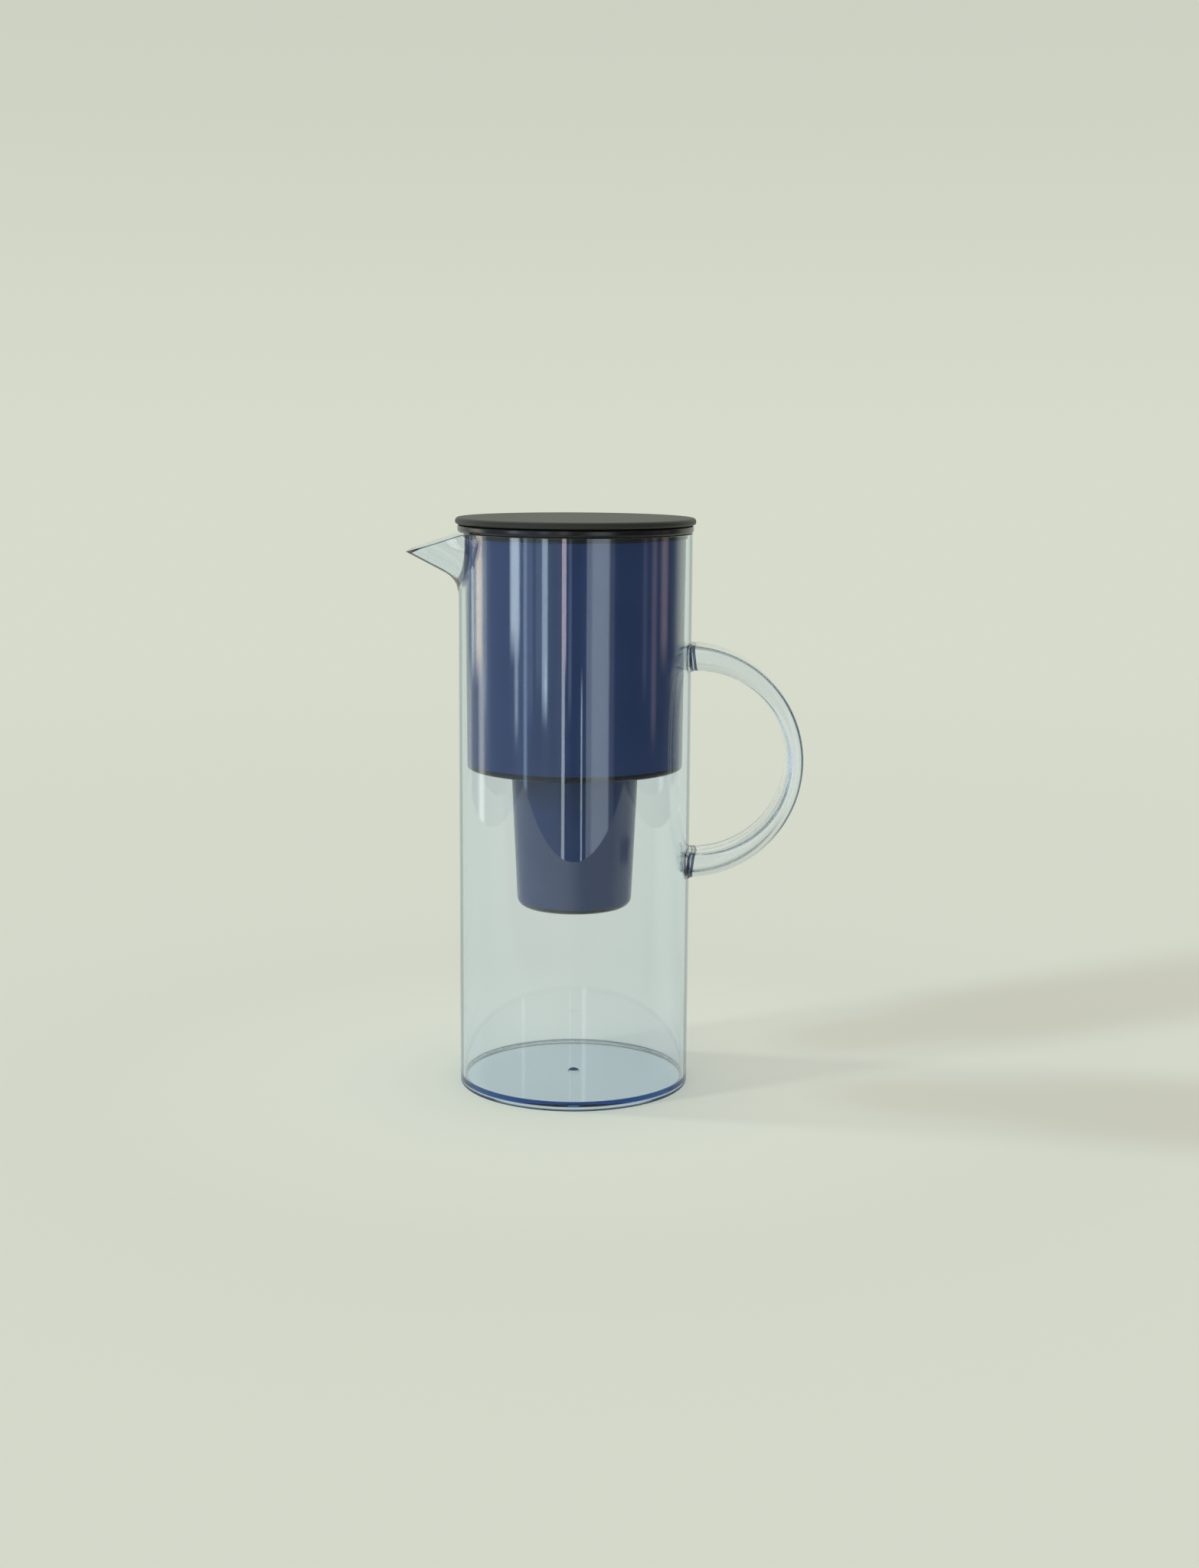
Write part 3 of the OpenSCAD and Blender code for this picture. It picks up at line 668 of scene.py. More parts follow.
class SpoutForm:
    """Turns points of a plain round wall into points of the wall with its spout."""

    notes = ("outer_face", "spout_shift", "keel_rise")
    start_drop = 0.042
    sector = math.radians(42.0)
    plan_power = 3.0
    section_power = 2.6
    crease = 0.002
    root_inset = 0.004
    slope_inset = 0.001
    wall_reach = 0.01
    flat_share = 0.995
    turn_count = 1201
    arc_count = 801
    level_count = 85
    keel_count = 240

    def __init__(self, size):
        self.radius = size.radius
        self.rim = size.rim
        self.tip = size.spout_tip
        self.tip_z = size.rim - size.spout_drop
        self.half = size.spout_half
        self.blend = size.spout_blend
        reach = size.spout_tip - size.radius
        self.keel = math.atan2(size.spout_depth - size.spout_drop, reach)
        self.blend_z = size.rim - size.spout_depth - size.spout_blend * math.tan(
            math.pi / 4 - self.keel / 2
        )
        self.bore = size.radius - size.wall
        self.root = math.sqrt(self.bore**2 - size.spout_half**2) - self.root_inset
        self.slope = size.spout_drop / (size.spout_tip - self.bore + self.slope_inset)
        self.start = size.rim - self.start_drop
        self.tables = {}

    def reach(self, z, inset):
        """Distance of the keel from the axis at a height, on a face that lies inset."""
        r = self.blend + inset
        line_z = self.blend_z + r * math.cos(self.keel)
        if z < line_z:
            rise = min(max(z - self.blend_z, 0.0), r)
            return self.radius + self.blend - math.sqrt(r * r - rise * rise)
        line_r = self.radius + self.blend - r * math.sin(self.keel)
        return line_r + (z - line_z) / math.tan(self.keel)

    def outline(self, z, inset, shares):
        """Points of one level, at given shares of its length across the spout's sector."""
        turn = np.linspace(-self.sector, self.sector, self.turn_count)
        ring = np.full_like(turn, self.radius - inset)
        share = (self.rim - z) / (self.rim - self.blend_z)
        if share < self.flat_share:
            share = max(share, 0.0)
            half = (self.half - inset) * (1 - share**self.section_power) ** (1 / self.section_power)
            ahead = self.reach(z, inset) - self.root
            a = np.linspace(-math.pi / 2, math.pi / 2, self.arc_count)
            along = self.root + ahead * np.maximum(np.cos(a), 0) ** (2 / self.plan_power)
            across = half * np.sign(a) * np.abs(np.sin(a)) ** (2 / self.plan_power)
            spout = np.interp(
                turn, np.arctan2(across, along), np.hypot(along, across), left=0.0, right=0.0
            )
            near = np.maximum(self.crease - np.abs(ring - spout), 0.0)
            ring = np.maximum(ring, spout) + near**2 / (4 * self.crease)
        x, y = -ring * np.cos(turn), ring * np.sin(turn)
        run = np.concatenate([[0.0], np.cumsum(np.hypot(np.diff(x), np.diff(y)))])
        run /= run[-1]
        return np.interp(shares, run, x), np.interp(shares, run, y)

    def table(self, inset, shares):
        """Levels, their points, and the height at which the sloping rim cuts each column."""
        key = round(inset, 6)
        if key not in self.tables:
            levels = np.linspace(self.start, self.rim, self.level_count)
            rows = [self.outline(z, inset, shares) for z in levels]
            xs = np.array([row[0] for row in rows])
            ys = np.array([row[1] for row in rows])
            over = levels[:, None] - (self.tip_z + self.slope * (xs + self.tip))
            tops = []
            for column in over.T:
                past = np.nonzero(column > 0)[0]
                if len(past) and past[0] > 0:
                    i = past[0]
                    part = column[i - 1] / (column[i - 1] - column[i])
                    tops.append(levels[i - 1] + part * (levels[i] - levels[i - 1]))
                else:
                    tops.append(self.rim)
            self.tables[key] = (levels, xs, ys, np.array(tops))
        return self.tables[key]

    def apply(self, bm, columns):
        """Move the wall's points, and note how far out and how far over the keel each one lies."""
        outer, shift, over = (bm.verts.layers.float.new(name) for name in self.notes)
        heights = np.linspace(self.start, self.rim, self.keel_count)
        keel = [self.reach(z, 0.0) for z in heights]
        count = int(self.sector / math.tau * columns)
        step = math.tau / columns
        edge = count * step
        self.sector = edge
        shares = np.linspace(0, 1, 2 * count + 1)
        for vert in bm.verts:
            r = math.hypot(vert.co.x, vert.co.y)
            vert[outer] = float(r > self.radius - 1e-6)
            vert[over] = 1.0
            if vert.co.z < self.start or r < self.radius - self.wall_reach:
                continue
            turn = math.atan2(vert.co.y, -vert.co.x)
            if abs(turn) > edge + step / 4:
                continue
            column = round((turn + edge) / step)
            levels, xs, ys, tops = self.table(self.radius - r, shares)
            share = (vert.co.z - self.start) / (self.rim - self.start)
            z = self.start + share * (tops[column] - self.start)
            vert.co = (
                np.interp(z, levels, xs[:, column]),
                np.interp(z, levels, ys[:, column]),
                z,
            )
            vert[shift] = math.hypot(vert.co.x, vert.co.y) - r
            vert[over] = z - np.interp(-vert.co.x, keel, heights)


class JUG_OT_body(bpy.types.Operator):
    """Make the clear jug with its spout"""

    bl_idname = "jug.body"
    bl_label = "Jug Body"

    wall_rows = 27
    plain_rise = 0.05
    # Where the painted shade lines lie: start, end and softness, or start and end of a change
    side_angles = (0.77, 0.92, 0.06)
    rim_band = (0.0, 0.0008, 0.0002)
    root_band = (0.0003, 0.0026, 0.0006)
    clear_of_wall = (0.0008, 0.002)
    foot_angles = (0.22, 0.34)
    foot_top = (0.0022, 0.0018)
    base_top = (0.0008, 0.0005)
    corner_band = (-0.0001, 0.0004, 0.0002)
    corner_depth = (0.0012, 0.0008)
    gate_shares = (0.92, 0.85)
    gate_rise = (-0.0002, 0.0)
    keel_top = (0.0026, 0.0022)
    keel_share = 0.62

    def execute(self, context):
        size = context.scene.jug_sizes
        look = context.scene.jug_finishes
        bore = size.radius - size.wall
        foot_in = size.radius - size.foot_width
        form = SpoutForm(size)
        rise = np.linspace(form.start, size.rim - size.rim_edge * 1.5, self.wall_rows)
        rows = [form.start - self.plain_rise, *rise]
        recess = size.foot + size.gate_recess
        mark = size.floor + size.gate_rise
        bm = lathe(
            [
                (0, recess, 0),
                (size.gate, recess, size.gate_edge),
                (size.gate, size.foot, size.gate_edge),
                (foot_in, size.foot, size.foot_edge),
                (foot_in, 0, size.foot_edge),
                (size.radius, 0, size.base_edge),
                *[(size.radius, z, 0) for z in rows],
                (size.radius, size.rim, size.rim_edge),
                (bore, size.rim, size.rim_edge),
                *[(bore, z, 0) for z in reversed(rows)],
                (bore, size.floor, size.floor_fillet),
                (size.gate * 0.9, size.floor, size.gate_edge),
                (size.gate * 0.6, mark, size.gate_edge),
                (0, mark, 0),
            ],
            size.columns,
        )
        form.apply(bm, size.columns)
        bmesh.ops.recalc_face_normals(bm, faces=bm.faces[:])
        mat = clear_plastic("clear_plastic", look.tint, JUG_DENSITY)
        self.draw_edges(mat, look, size, form)
        add_piece("clear_jug", bm, mat, "jug", ["jug_body"], 50)
        return {"FINISHED"}

    def draw_edges(self, mat, look, size, form):
        """Paint shade into the tint at the outline, on the spout's edges, round the foot and at the
        gate, where refraction makes the plastic look dark, and a painted contact shadow along the
        bottom edge.
        """
        tree = mat.node_tree
        shader = tree.nodes["Principled BSDF"]
        x, y, z = link_place(tree)
        reach = distance(tree, x, y)
        above = maths(tree, "SUBTRACT", z, size.floor)
        inward = maths(tree, "SUBTRACT", form.bore, reach)
        facing = add_node(tree, "LayerWeight", {"Blend": 0.5}).outputs["Facing"]
        outer, shift, over = (
            add_node(tree, "Attribute", {}, attribute_name=name).outputs["Fac"]
            for name in form.notes
        )
        entry = link_entry(tree)
        outside = product(tree, outer, entry)
        clear = soft_step(tree, shift, *self.clear_of_wall)
        ahead = product(tree, maths(tree, "ADD", x, form.tip), form.slope)
        below = maths(tree, "SUBTRACT", maths(tree, "ADD", ahead, form.tip_z), z)
        foot = soft_step(tree, facing, *self.foot_angles)
        corner = soft_step(tree, inward, *self.corner_depth)
        # Painted shade lines: outline, spout's rim and root, foot, floor corner, and a painted contact
        # shadow at the base
        lines = (
            (look.outline_painted_shade, band(tree, facing, *self.side_angles), outside),
            (look.spout_rim_painted_shade, band(tree, below, *self.rim_band), clear, outside),
            (look.spout_root_painted_shade, band(tree, shift, *self.root_band), outside),
            (look.foot_painted_shade, foot, soft_step(tree, z, *self.foot_top), entry),
            (look.corner_painted_shade, corner, band(tree, above, *self.corner_band), entry),
            (look.base_painted_shadow, soft_step(tree, z, *self.base_top)),
        )
        feed(tree, shader.inputs["Base Color"], deepen(tree, lines))
        gate = product(
            tree,
            soft_step(tree, reach, *[size.gate * share for share in self.gate_shares]),
            soft_step(tree, above, *self.gate_rise),
        )
        # Painted shade: a see-through veil darkens the spout's underside and the gate's mark
        keel = product(tree, soft_step(tree, over, *self.keel_top), clear, outside, self.keel_share)
        share = maths(tree, "MAXIMUM", keel, product(tree, gate, entry))
        veil = see_through(tree, blend_colours(tree, gate, look.keel_painted_shade, look.gate_painted_shade))
        plain = shader.outputs["BSDF"]
        target = plain.links[0].to_socket
        feed(tree, target, blend_shaders(tree, share, plain, veil))


class JUG_OT_handle(bpy.types.Operator):
    """Make the clear half-ring handle"""

    bl_idname = "jug.handle"
    bl_label = "Handle"

    lead = math.radians(6.0)
    end_steps = 40
    ring_steps = 200
    seat_reach = 0.01
    # Painted shade lines along the ring's edges in shares of their rounding: start, end and softness
    outer_band = (-0.42, -0.07, 0.1)
    inner_band = (0.05, 0.2, 0.1)
    corner_width = (1.0, 0.9)
    # Heights between which the outer line begins and weakens, in shares of the ring's radius
    line_start = (-0.88, -0.5)
    line_weak = (0.4, 0.8)
    weak_share = 0.72
    # Painted shade bars at the weld: distance from the wall, its growth across the ring and half the
    # width
    weld_bars = ((0.0002, 0.0014, 0.00065), (0.0018, 0.0016, 0.0008))
    bar_soft = 0.0004

    def execute(self, context):
        size = context.scene.jug_handle
        jug = context.scene.jug_sizes
        look = context.scene.jug_finishes
        centre = Vector((jug.radius - size.inset, 0, size.middle))
        bm = self.half_ring(size, centre)
        self.fit(bm, size, centre, jug.radius)
        bottom, top = low("handle", 2) - self.seat_reach, high("handle", 2) + self.seat_reach
        wall = jug.radius + size.seat
        seat = lathe([(0, bottom, 0), (wall, bottom, 0), (wall, top, 0), (0, top, 0)], jug.columns)
        bm = combine(bm, [seat], "DIFFERENCE")
        bmesh.ops.recalc_face_normals(bm, faces=bm.faces[:])
        mat = clear_plastic("handle_plastic", look.tint, HANDLE_DENSITY)
        self.draw_edges(mat, look, size, centre, jug.radius)
        add_piece("clear_handle", bm, mat, "jug", ["handle"], 40)
        return {"FINISHED"}

    def half_ring(self, size, centre):
        """Rounded bar spun a little past half a turn, with its ends inside the wall."""
        grip = size.radius - size.root
        half = size.width / 2
        bm = bmesh.new()
        corners = [(grip, -half), (size.radius, -half), (size.radius, half), (grip, half)]
        verts = closed_outline(bm, [(centre.x, y, centre.z + r) for r, y in corners])
        round_off(bm, verts, size.edge, 8, "VERTICES")
        start = Matrix.Rotation(-self.lead, 3, "Y")
        bmesh.ops.rotate(bm, verts=bm.verts[:], cent=centre, matrix=start)
        ring = bm.verts[:] + bm.edges[:]
        end = (2 * self.lead, self.end_steps)
        for angle, steps in (end, (math.pi - 2 * self.lead, self.ring_steps), end):
            ring = bmesh.ops.spin(
                bm, geom=ring, cent=centre, axis=(0, 1, 0), angle=angle, steps=steps
            )["geom_last"]
        bmesh.ops.holes_fill(bm, edges=[e for e in bm.edges if e.is_boundary])
        return bm

    @staticmethod
    def fit(bm, size, centre, wall):
        """Move the inner circle out of centre, and flare both ends towards the wall."""
        grip = size.radius - size.root
        shift = size.root - size.thickness
        half = size.width / 2
        span = [grip, grip + size.edge, size.radius - size.edge, size.radius]
        for vert in bm.verts:
            arm = vert.co - centre
            r, y = math.hypot(arm.x, arm.z), vert.co.y
            ux, uz = arm.x / r, arm.z / r
            side = Vector(
                (
                    r - min(max(r, grip + size.edge), size.radius - size.edge),
                    y - min(max(y, -half + size.edge), half - size.edge),
                )
            ).normalized()
            inner = shift * ux + math.sqrt(grip**2 - (shift * uz) ** 2)
            local = [inner, inner + size.edge, *span[2:]]
            out = float(np.interp(r, span, local))
            gap = centre.x + out * ux - math.sqrt(wall**2 - y**2)
            rest = size.flare - min(max(gap, 0.0), size.flare)
            swell = size.flare - math.sqrt(size.flare**2 - rest**2)
            out += side.x * swell * 0.5
            vert.co = (centre.x + out * ux, y + side.y * swell, centre.z + out * uz)
        bmesh.ops.recalc_face_normals(bm, faces=bm.faces[:])

    def draw_edges(self, mat, look, size, centre, wall):
        """Paint shade into the tint along the ring's edges and in two bars at the weld, where
        refraction makes the plastic look dark.
        """
        tree = mat.node_tree
        shader = tree.nodes["Principled BSDF"]
        x, y, z = link_place(tree)
        entry = link_entry(tree)
        rise = maths(tree, "SUBTRACT", z, centre.z)
        level = maths(tree, "DIVIDE", rise, size.radius)
        ring = distance(tree, maths(tree, "SUBTRACT", x, centre.x), rise)
        shift = size.root - size.thickness
        hollow = distance(tree, maths(tree, "SUBTRACT", x, centre.x + shift), rise)
        grip = size.radius - size.root
        rim, lip, side = (
            maths(tree, "DIVIDE", maths(tree, "SUBTRACT", *pair), size.edge)
            for pair in (
                (ring, size.radius),
                (hollow, grip),
                (size.width / 2, maths(tree, "ABSOLUTE", y)),
            )
        )
        corner = product(tree, soft_step(tree, side, *self.corner_width), entry)
        begun = soft_step(tree, level, *self.line_start)
        weak = link_range(tree, soft_step(tree, level, *self.line_weak), 1.0, self.weak_share)
        lines = [
            (look.handle_edge_painted_shade, band(tree, rim, *self.outer_band), begun, weak, corner),
            (look.grip_edge_painted_shade, band(tree, lip, *self.inner_band), corner),
        ]
        depth = maths(tree, "DIVIDE", maths(tree, "SUBTRACT", size.radius, ring), size.root)
        off = maths(tree, "SUBTRACT", distance(tree, x, y), wall)
        apart = product(tree, soft_step(tree, off, size.seat * 2, size.seat * 6), entry)
        for shade, (first, growth, half) in zip((look.weld_painted_shade, look.weld_bar_painted_shade), self.weld_bars):
            middle = maths(tree, "ADD", first, product(tree, depth, growth))
            bar = band(tree, maths(tree, "SUBTRACT", off, middle), -half, half, self.bar_soft)
            lines.append((shade, bar, apart))
        feed(tree, shader.inputs["Base Color"], deepen(tree, lines))


class JUG_OT_funnel(bpy.types.Operator):
    """Make the dark funnel with its rim ring, cup and neck seal"""

    bl_idname = "jug.funnel"
    bl_label = "Funnel"

    collar_soft = 0.0004
    foot_soft = 0.0006
    floor_soft = 0.0005
    floor_drop = 0.0003
    seal_rises = (0.0009, 0.0013, 0.0017)
    seal_notch = 0.0005

    def execute(self, context):
        size = context.scene.jug_funnel
        look = context.scene.jug_finishes
        rim = context.scene.jug_sizes.rim
        collar = low("funnel_seal", 2)
        inside = size.cup_foot - size.wall
        cup_floor = size.foot + size.wall
        bm = lathe(
            [
                (0, size.foot, 0),
                (size.cup_foot, size.foot, size.cup_edge),
                (size.cup_top, size.bottom, 0.0006),
                (size.low_side, size.bottom, 0.002),
                (size.side, collar, 0.0002),
                (size.groove, collar, 0.0002),
                (size.groove, rim, 0.0002),
                (size.flange, rim, 0.0016),
                (size.flange, size.top, 0.0008),
                (size.side - size.wall, size.top, 0.0006),
                (size.low_side - size.wall, size.bottom + size.floor, 0.0012),
                (size.cup_top - size.wall, size.bottom + size.floor, 0.0005),
                (inside, cup_floor, 0.003),
                (0, cup_floor, 0),
            ]
        )
        bm = slot_floor(bm, inside - size.slot_margin, size.foot, cup_floor + OVERCUT)
        mat = moulded_plastic("funnel_plastic", look.funnel)
        self.darken_edges(mat, look.edge, size, collar)
        add_piece("dark_funnel", bm, mat, "funnel", ["funnel"])
        top, out = high("funnel_seal", 2), high("funnel_seal", 0)
        lip, notch, upper_lip = (collar + rise for rise in self.seal_rises)
        seal = lathe(
            [
                (out, collar, 0.0007),
                (out, lip, 0.0003),
                (out - self.seal_notch, notch, 0.0003),
                (out, upper_lip, 0.0003),
                (out, top, 0.0005),
                (size.groove, top, 0),
                (size.groove, collar, 0),
            ]
        )
        rubber = moulded_plastic("seal_rubber", look.seal)
        add_piece("neck_seal", seal, rubber, "funnel", ["funnel_seal"])
        return {"FINISHED"}

    def darken_edges(self, mat, edge, size, collar):
        """Leave the lower edges and the rim ring in a plain dark grey."""
        tree = mat.node_tree
        _, _, z = link_place(tree)
        foot = size.foot + size.dark_foot
        start, end = size.bottom - self.floor_drop, size.bottom + size.dark_floor
        share = soft_step(tree, z, collar, collar + self.collar_soft)
        for line in (
            soft_step(tree, z, foot + self.foot_soft, foot),
            band(tree, z, start, end, self.floor_soft),
        ):
            share = maths(tree, "MAXIMUM", share, line)
        repaint(mat, share, edge)


class JUG_OT_lid(bpy.types.Operator):
    """Make the flat lid with its plug and seal"""

    bl_idname = "jug.lid"
    bl_label = "Lid"

    # Painted shade: share of the lid's colour left on the disc's side, and the drops below the top
    # over which it darkens
    lid_rim_painted_shade = 0.55
    rim_drop = (0.0006, 0.0014)
    wiper_rises = (0.001, 0.0015, 0.002)

    def execute(self, context):
        size = context.scene.jug_lid
        look = context.scene.jug_finishes
        self.disc(size, look)
        plate, plate_top, bottom = high("lid_plug", 0), high("lid_plug", 2), low("lid_plug", 2)
        ring_low, ring_high = low("lid_seal", 2), high("lid_seal", 2)
        shoulder = high("funnel", 2)
        inside, groove = size.skirt - size.wall, size.skirt - size.groove
        plug = lathe(
            [
                (0, shoulder, 0),
                (inside, shoulder, 0.0012),
                (inside, bottom, 0.0006),
                (size.skirt, bottom, 0.0008),
                (size.skirt, ring_low, 0.0002),
                (groove, ring_low, 0.0002),
                (groove, ring_high, 0.0002),
                (size.skirt, ring_high, 0.0002),
                (size.skirt, shoulder, 0.0008),
                (plate, shoulder, 0.0005),
                (plate, plate_top, 0.0004),
                (0, plate_top, 0),
            ]
        )
        inner = moulded_plastic("plug_plastic", look.lid)
        add_piece("lid_plug_plate", plug, inner, "lid", ["lid_plug"])
        out = high("lid_seal", 0)
        lip, notch, upper_lip = (ring_low + rise for rise in self.wiper_rises)
        wiper = lathe(
            [
                (groove, ring_low, 0),
                (out, ring_low, 0.0005),
                (out, lip, 0.0003),
                (size.skirt, notch, 0.0002),
                (out, upper_lip, 0.0003),
                (out, ring_high, 0.0005),
                (groove, ring_high, 0),
            ]
        )
        rubber = bpy.data.materials["seal_rubber"]
        add_piece("lid_wiper", wiper, rubber, "lid", ["lid_seal"])
        return {"FINISHED"}

    def disc(self, size, look):
        """Flat disc, with painted shade making its side darker than its top, where less light falls.
        """
        radius, bottom, top = high("lid_cap", 0), low("lid_cap", 2), high("lid_cap", 2)
        recess, plate_top = high("lid_plug", 0) + size.gap, high("lid_plug", 2)
        disc = lathe(
            [
                (0, plate_top, 0),
                (recess, plate_top, 0.0003),
                (recess, bottom, 0.0003),
                (radius, bottom, size.low_edge),
                (radius, top, size.edge),
                (0, top, 0),
            ],
            segments=6,
        )
        mat = moulded_plastic("lid_plastic", look.lid)
        tree = mat.node_tree
        _, _, z = link_place(tree)
        # Painted shade on the disc's side, darker than the lit top
        side = soft_step(tree, z, *[top - drop for drop in self.rim_drop])
        repaint(mat, side, [c * self.lid_rim_painted_shade for c in look.lid])
        add_piece("lid_disc", disc, mat, "lid", ["lid_cap"])


class JUG_OT_cartridge(bpy.types.Operator):
    """Make the cartridge: shell, cap, screens, granules and seal"""

    bl_idname = "jug.cartridge"
    bl_label = "Cartridge"

    cap_slots = 12
    cap_slot_width = 0.003
    cap_slot_start = 0.002
    cap_slot_end = 0.0025
    cap_slot_depth = 0.0035
    spigot_gap = 0.0001
    gasket_gap = 0.00035
    bed_rows = 40
    bed_steps = 160
    bed_slope = 0.004
    bed_flare = 0.0045

    def execute(self, context):
        size = context.scene.jug_cartridge
        look = context.scene.jug_finishes
        self.shell(size, moulded_plastic("cartridge_plastic", look.cartridge))
        self.cap(size, context.scene.jug_pull, moulded_plastic("cap_plastic", look.cap))
        woven = moulded_plastic("screen_mesh", look.screen)
        for name, node in (("inlet_mesh", "inlet_screen"), ("outlet_mesh", "outlet_screen")):
            self.screen(name, node, size, woven)
        self.bed(size, granule_bed("granules", look.granules))
        self.gasket(bpy.data.materials["seal_rubber"])
        return {"FINISHED"}

    @staticmethod
    def cup_inside(z):
        """Radius of the funnel's cup inside, at a height."""
        size = bpy.context.scene.jug_funnel
        share = (z - size.foot) / (size.bottom - size.foot)
        return size.cup_foot + share * (size.cup_top - size.cup_foot) - size.wall

    def shell(self, size, mat):
        foot, top = low("cartridge_shell", 2), high("cartridge_shell", 2)
        flange = high("cartridge_shell", 0)
        seat = top - size.flange
        floor = foot + size.floor
        outer = [self.cup_inside(z) - size.gap for z in (foot, seat)]
        inner = [self.cup_inside(z) - size.gap - size.wall for z in (floor, top)]
        bm = lathe(
            [
                (0, foot, 0),
                (outer[0], foot, size.foot_edge),
                (outer[1], seat, 0.0003),
                (flange, seat, 0.0005),
                (flange, top, 0.0005),
                (inner[1], top, 0.0003),
                (inner[0], floor, 0.003),
                (0, floor, 0),
            ]
        )
        bm = slot_floor(bm, outer[0] - size.slot_margin, foot, floor)
        add_piece(
            "cartridge_case", bm, mat, "cartridge", ["cartridge_shell"]
        )

    def cap(self, size, pull, mat):
        seat = high("cartridge_shell", 2)
        edge = high("cartridge_cap", 1)
        rim = seat + size.cap_rim
        tip = seat - size.spigot
        spigot = self.cup_inside(tip) - size.gap - size.wall - self.spigot_gap
        bm = lathe(
            [
                (0, size.cap_top - size.cap_wall, 0),
                (size.cap_flat, size.cap_top - size.cap_wall, 0.001),
                (spigot - size.cap_wall, rim - size.cap_wall, 0.0006),
                (spigot - size.cap_wall, tip, 0.0004),
                (spigot, tip, 0.0004),
                (spigot, seat, 0.0002),
                (edge, seat, 0.0003),
                (edge, rim, 0.0008),
                (size.cap_flat, size.cap_top, 0.0015),
                (0, size.cap_top, 0),
            ]
        )
        lugs = [self.lug(pull, size.cap_top, side) for side in (-1, 1)]
        bm = combine(bm, lugs, "UNION")
        reach = pull.half + pull.gap + pull.lug + OVERCUT
        bore = cross_bar(pull.pin + pull.pin_gap, -reach, reach, pull.hinge_x, pull.hinge_z, 32)
        start, end = size.cap_flat + self.cap_slot_start, edge - self.cap_slot_end
        bottom, top = rim - self.cap_slot_depth, size.cap_top + OVERCUT
        slots = radial_slots(self.cap_slots, start, end, self.cap_slot_width, bottom, top)
        bm = combine(bm, [bore, slots], "DIFFERENCE")
        add_piece("cartridge_lid", bm, mat, "cartridge", ["cartridge_cap"], 35)

    @staticmethod
    def lug(pull, top, side):
        """Upright hinge lug with a round head."""
        radius = pull.boss + pull.lug_wall
        inner = pull.half + pull.gap
        span = sorted((side * inner, side * (inner + pull.lug)))
        head = cross_bar(radius, *span, pull.hinge_x, pull.hinge_z, 48)
        depth = pull.hinge_z - top + OVERCUT
        for vert in head.verts:
            if vert.co.z < pull.hinge_z - 1e-6:
                share = (pull.hinge_z - vert.co.z) / radius
                vert.co.x = pull.hinge_x + math.copysign(radius, vert.co.x - pull.hinge_x)
                vert.co.z = pull.hinge_z - depth * share
        bmesh.ops.remove_doubles(head, verts=head.verts[:], dist=1e-6)
        return head

    @staticmethod
    def screen(name, node, size, mat):
        radius, bottom, top = high(node, 0), low(node, 2), high(node, 2)
        cells = int(2 * radius / size.mesh_pitch)
        bm = bmesh.new()
        bmesh.ops.create_grid(
            bm,
            x_segments=cells,
            y_segments=cells,
            size=radius,
            matrix=Matrix.Translation((0, 0, (bottom + top) / 2)),
        )
        outside = [v for v in bm.verts if v.co.xy.length > radius - size.mesh_rim * 0.4]
        bmesh.ops.delete(bm, geom=outside, context="VERTS")
        bmesh.ops.wireframe(
            bm,
            faces=bm.faces[:],
            thickness=size.strand,
            offset=0.0,
            use_replace=True,
            use_boundary=True,
            use_even_offset=True,
        )
        bmesh.ops.recalc_face_normals(bm, faces=bm.faces[:])
        inner = radius - size.mesh_rim
        ring = make_mesh("ring", square_ring(inner, radius, bottom, top, 0.0002, 128))
        bm.from_mesh(ring)
        bpy.data.meshes.remove(ring)
        add_piece(name, bm, mat, "cartridge", [node])

    def bed(self, size, mat):
        bottom, top, radius = low("filter_media", 2), high("filter_media", 2), high("filter_media", 0)
        foot = high("outlet_screen", 0)
        side = bottom + self.bed_slope
        height = top - bottom - self.bed_flare
        rows = np.linspace(0, 1, self.bed_rows)
        bm = lathe(
            [
                *[(foot * t, bottom, 0) for t in rows],
                (foot + self.bed_flare, side, 0.002),
                *[(radius, side + t * height, 0) for t in rows[1:]],
                *[(radius * t, top, 0) for t in rows[::-1]],
            ],
            self.bed_steps,
        )
        for vert in bm.verts:
            rise = noise.noise(vert.co * GRANULE_SCALE) * 0.5 + 0.5
            vert.co -= vert.normal * size.granule * rise
        bm.normal_update()
        add_piece("granule_bed", bm, mat, "cartridge", ["filter_media"])

    def gasket(self, mat):
        bottom, top = low("cartridge_seal", 2), high("cartridge_seal", 2)
        inner, outer = self.cup_inside(bottom) + self.gasket_gap, high("cartridge_seal", 0)
        ring = square_ring(inner, outer, bottom, top, 0.0004, 192)
        add_piece("cartridge_gasket", ring, mat, "cartridge", ["cartridge_seal"])


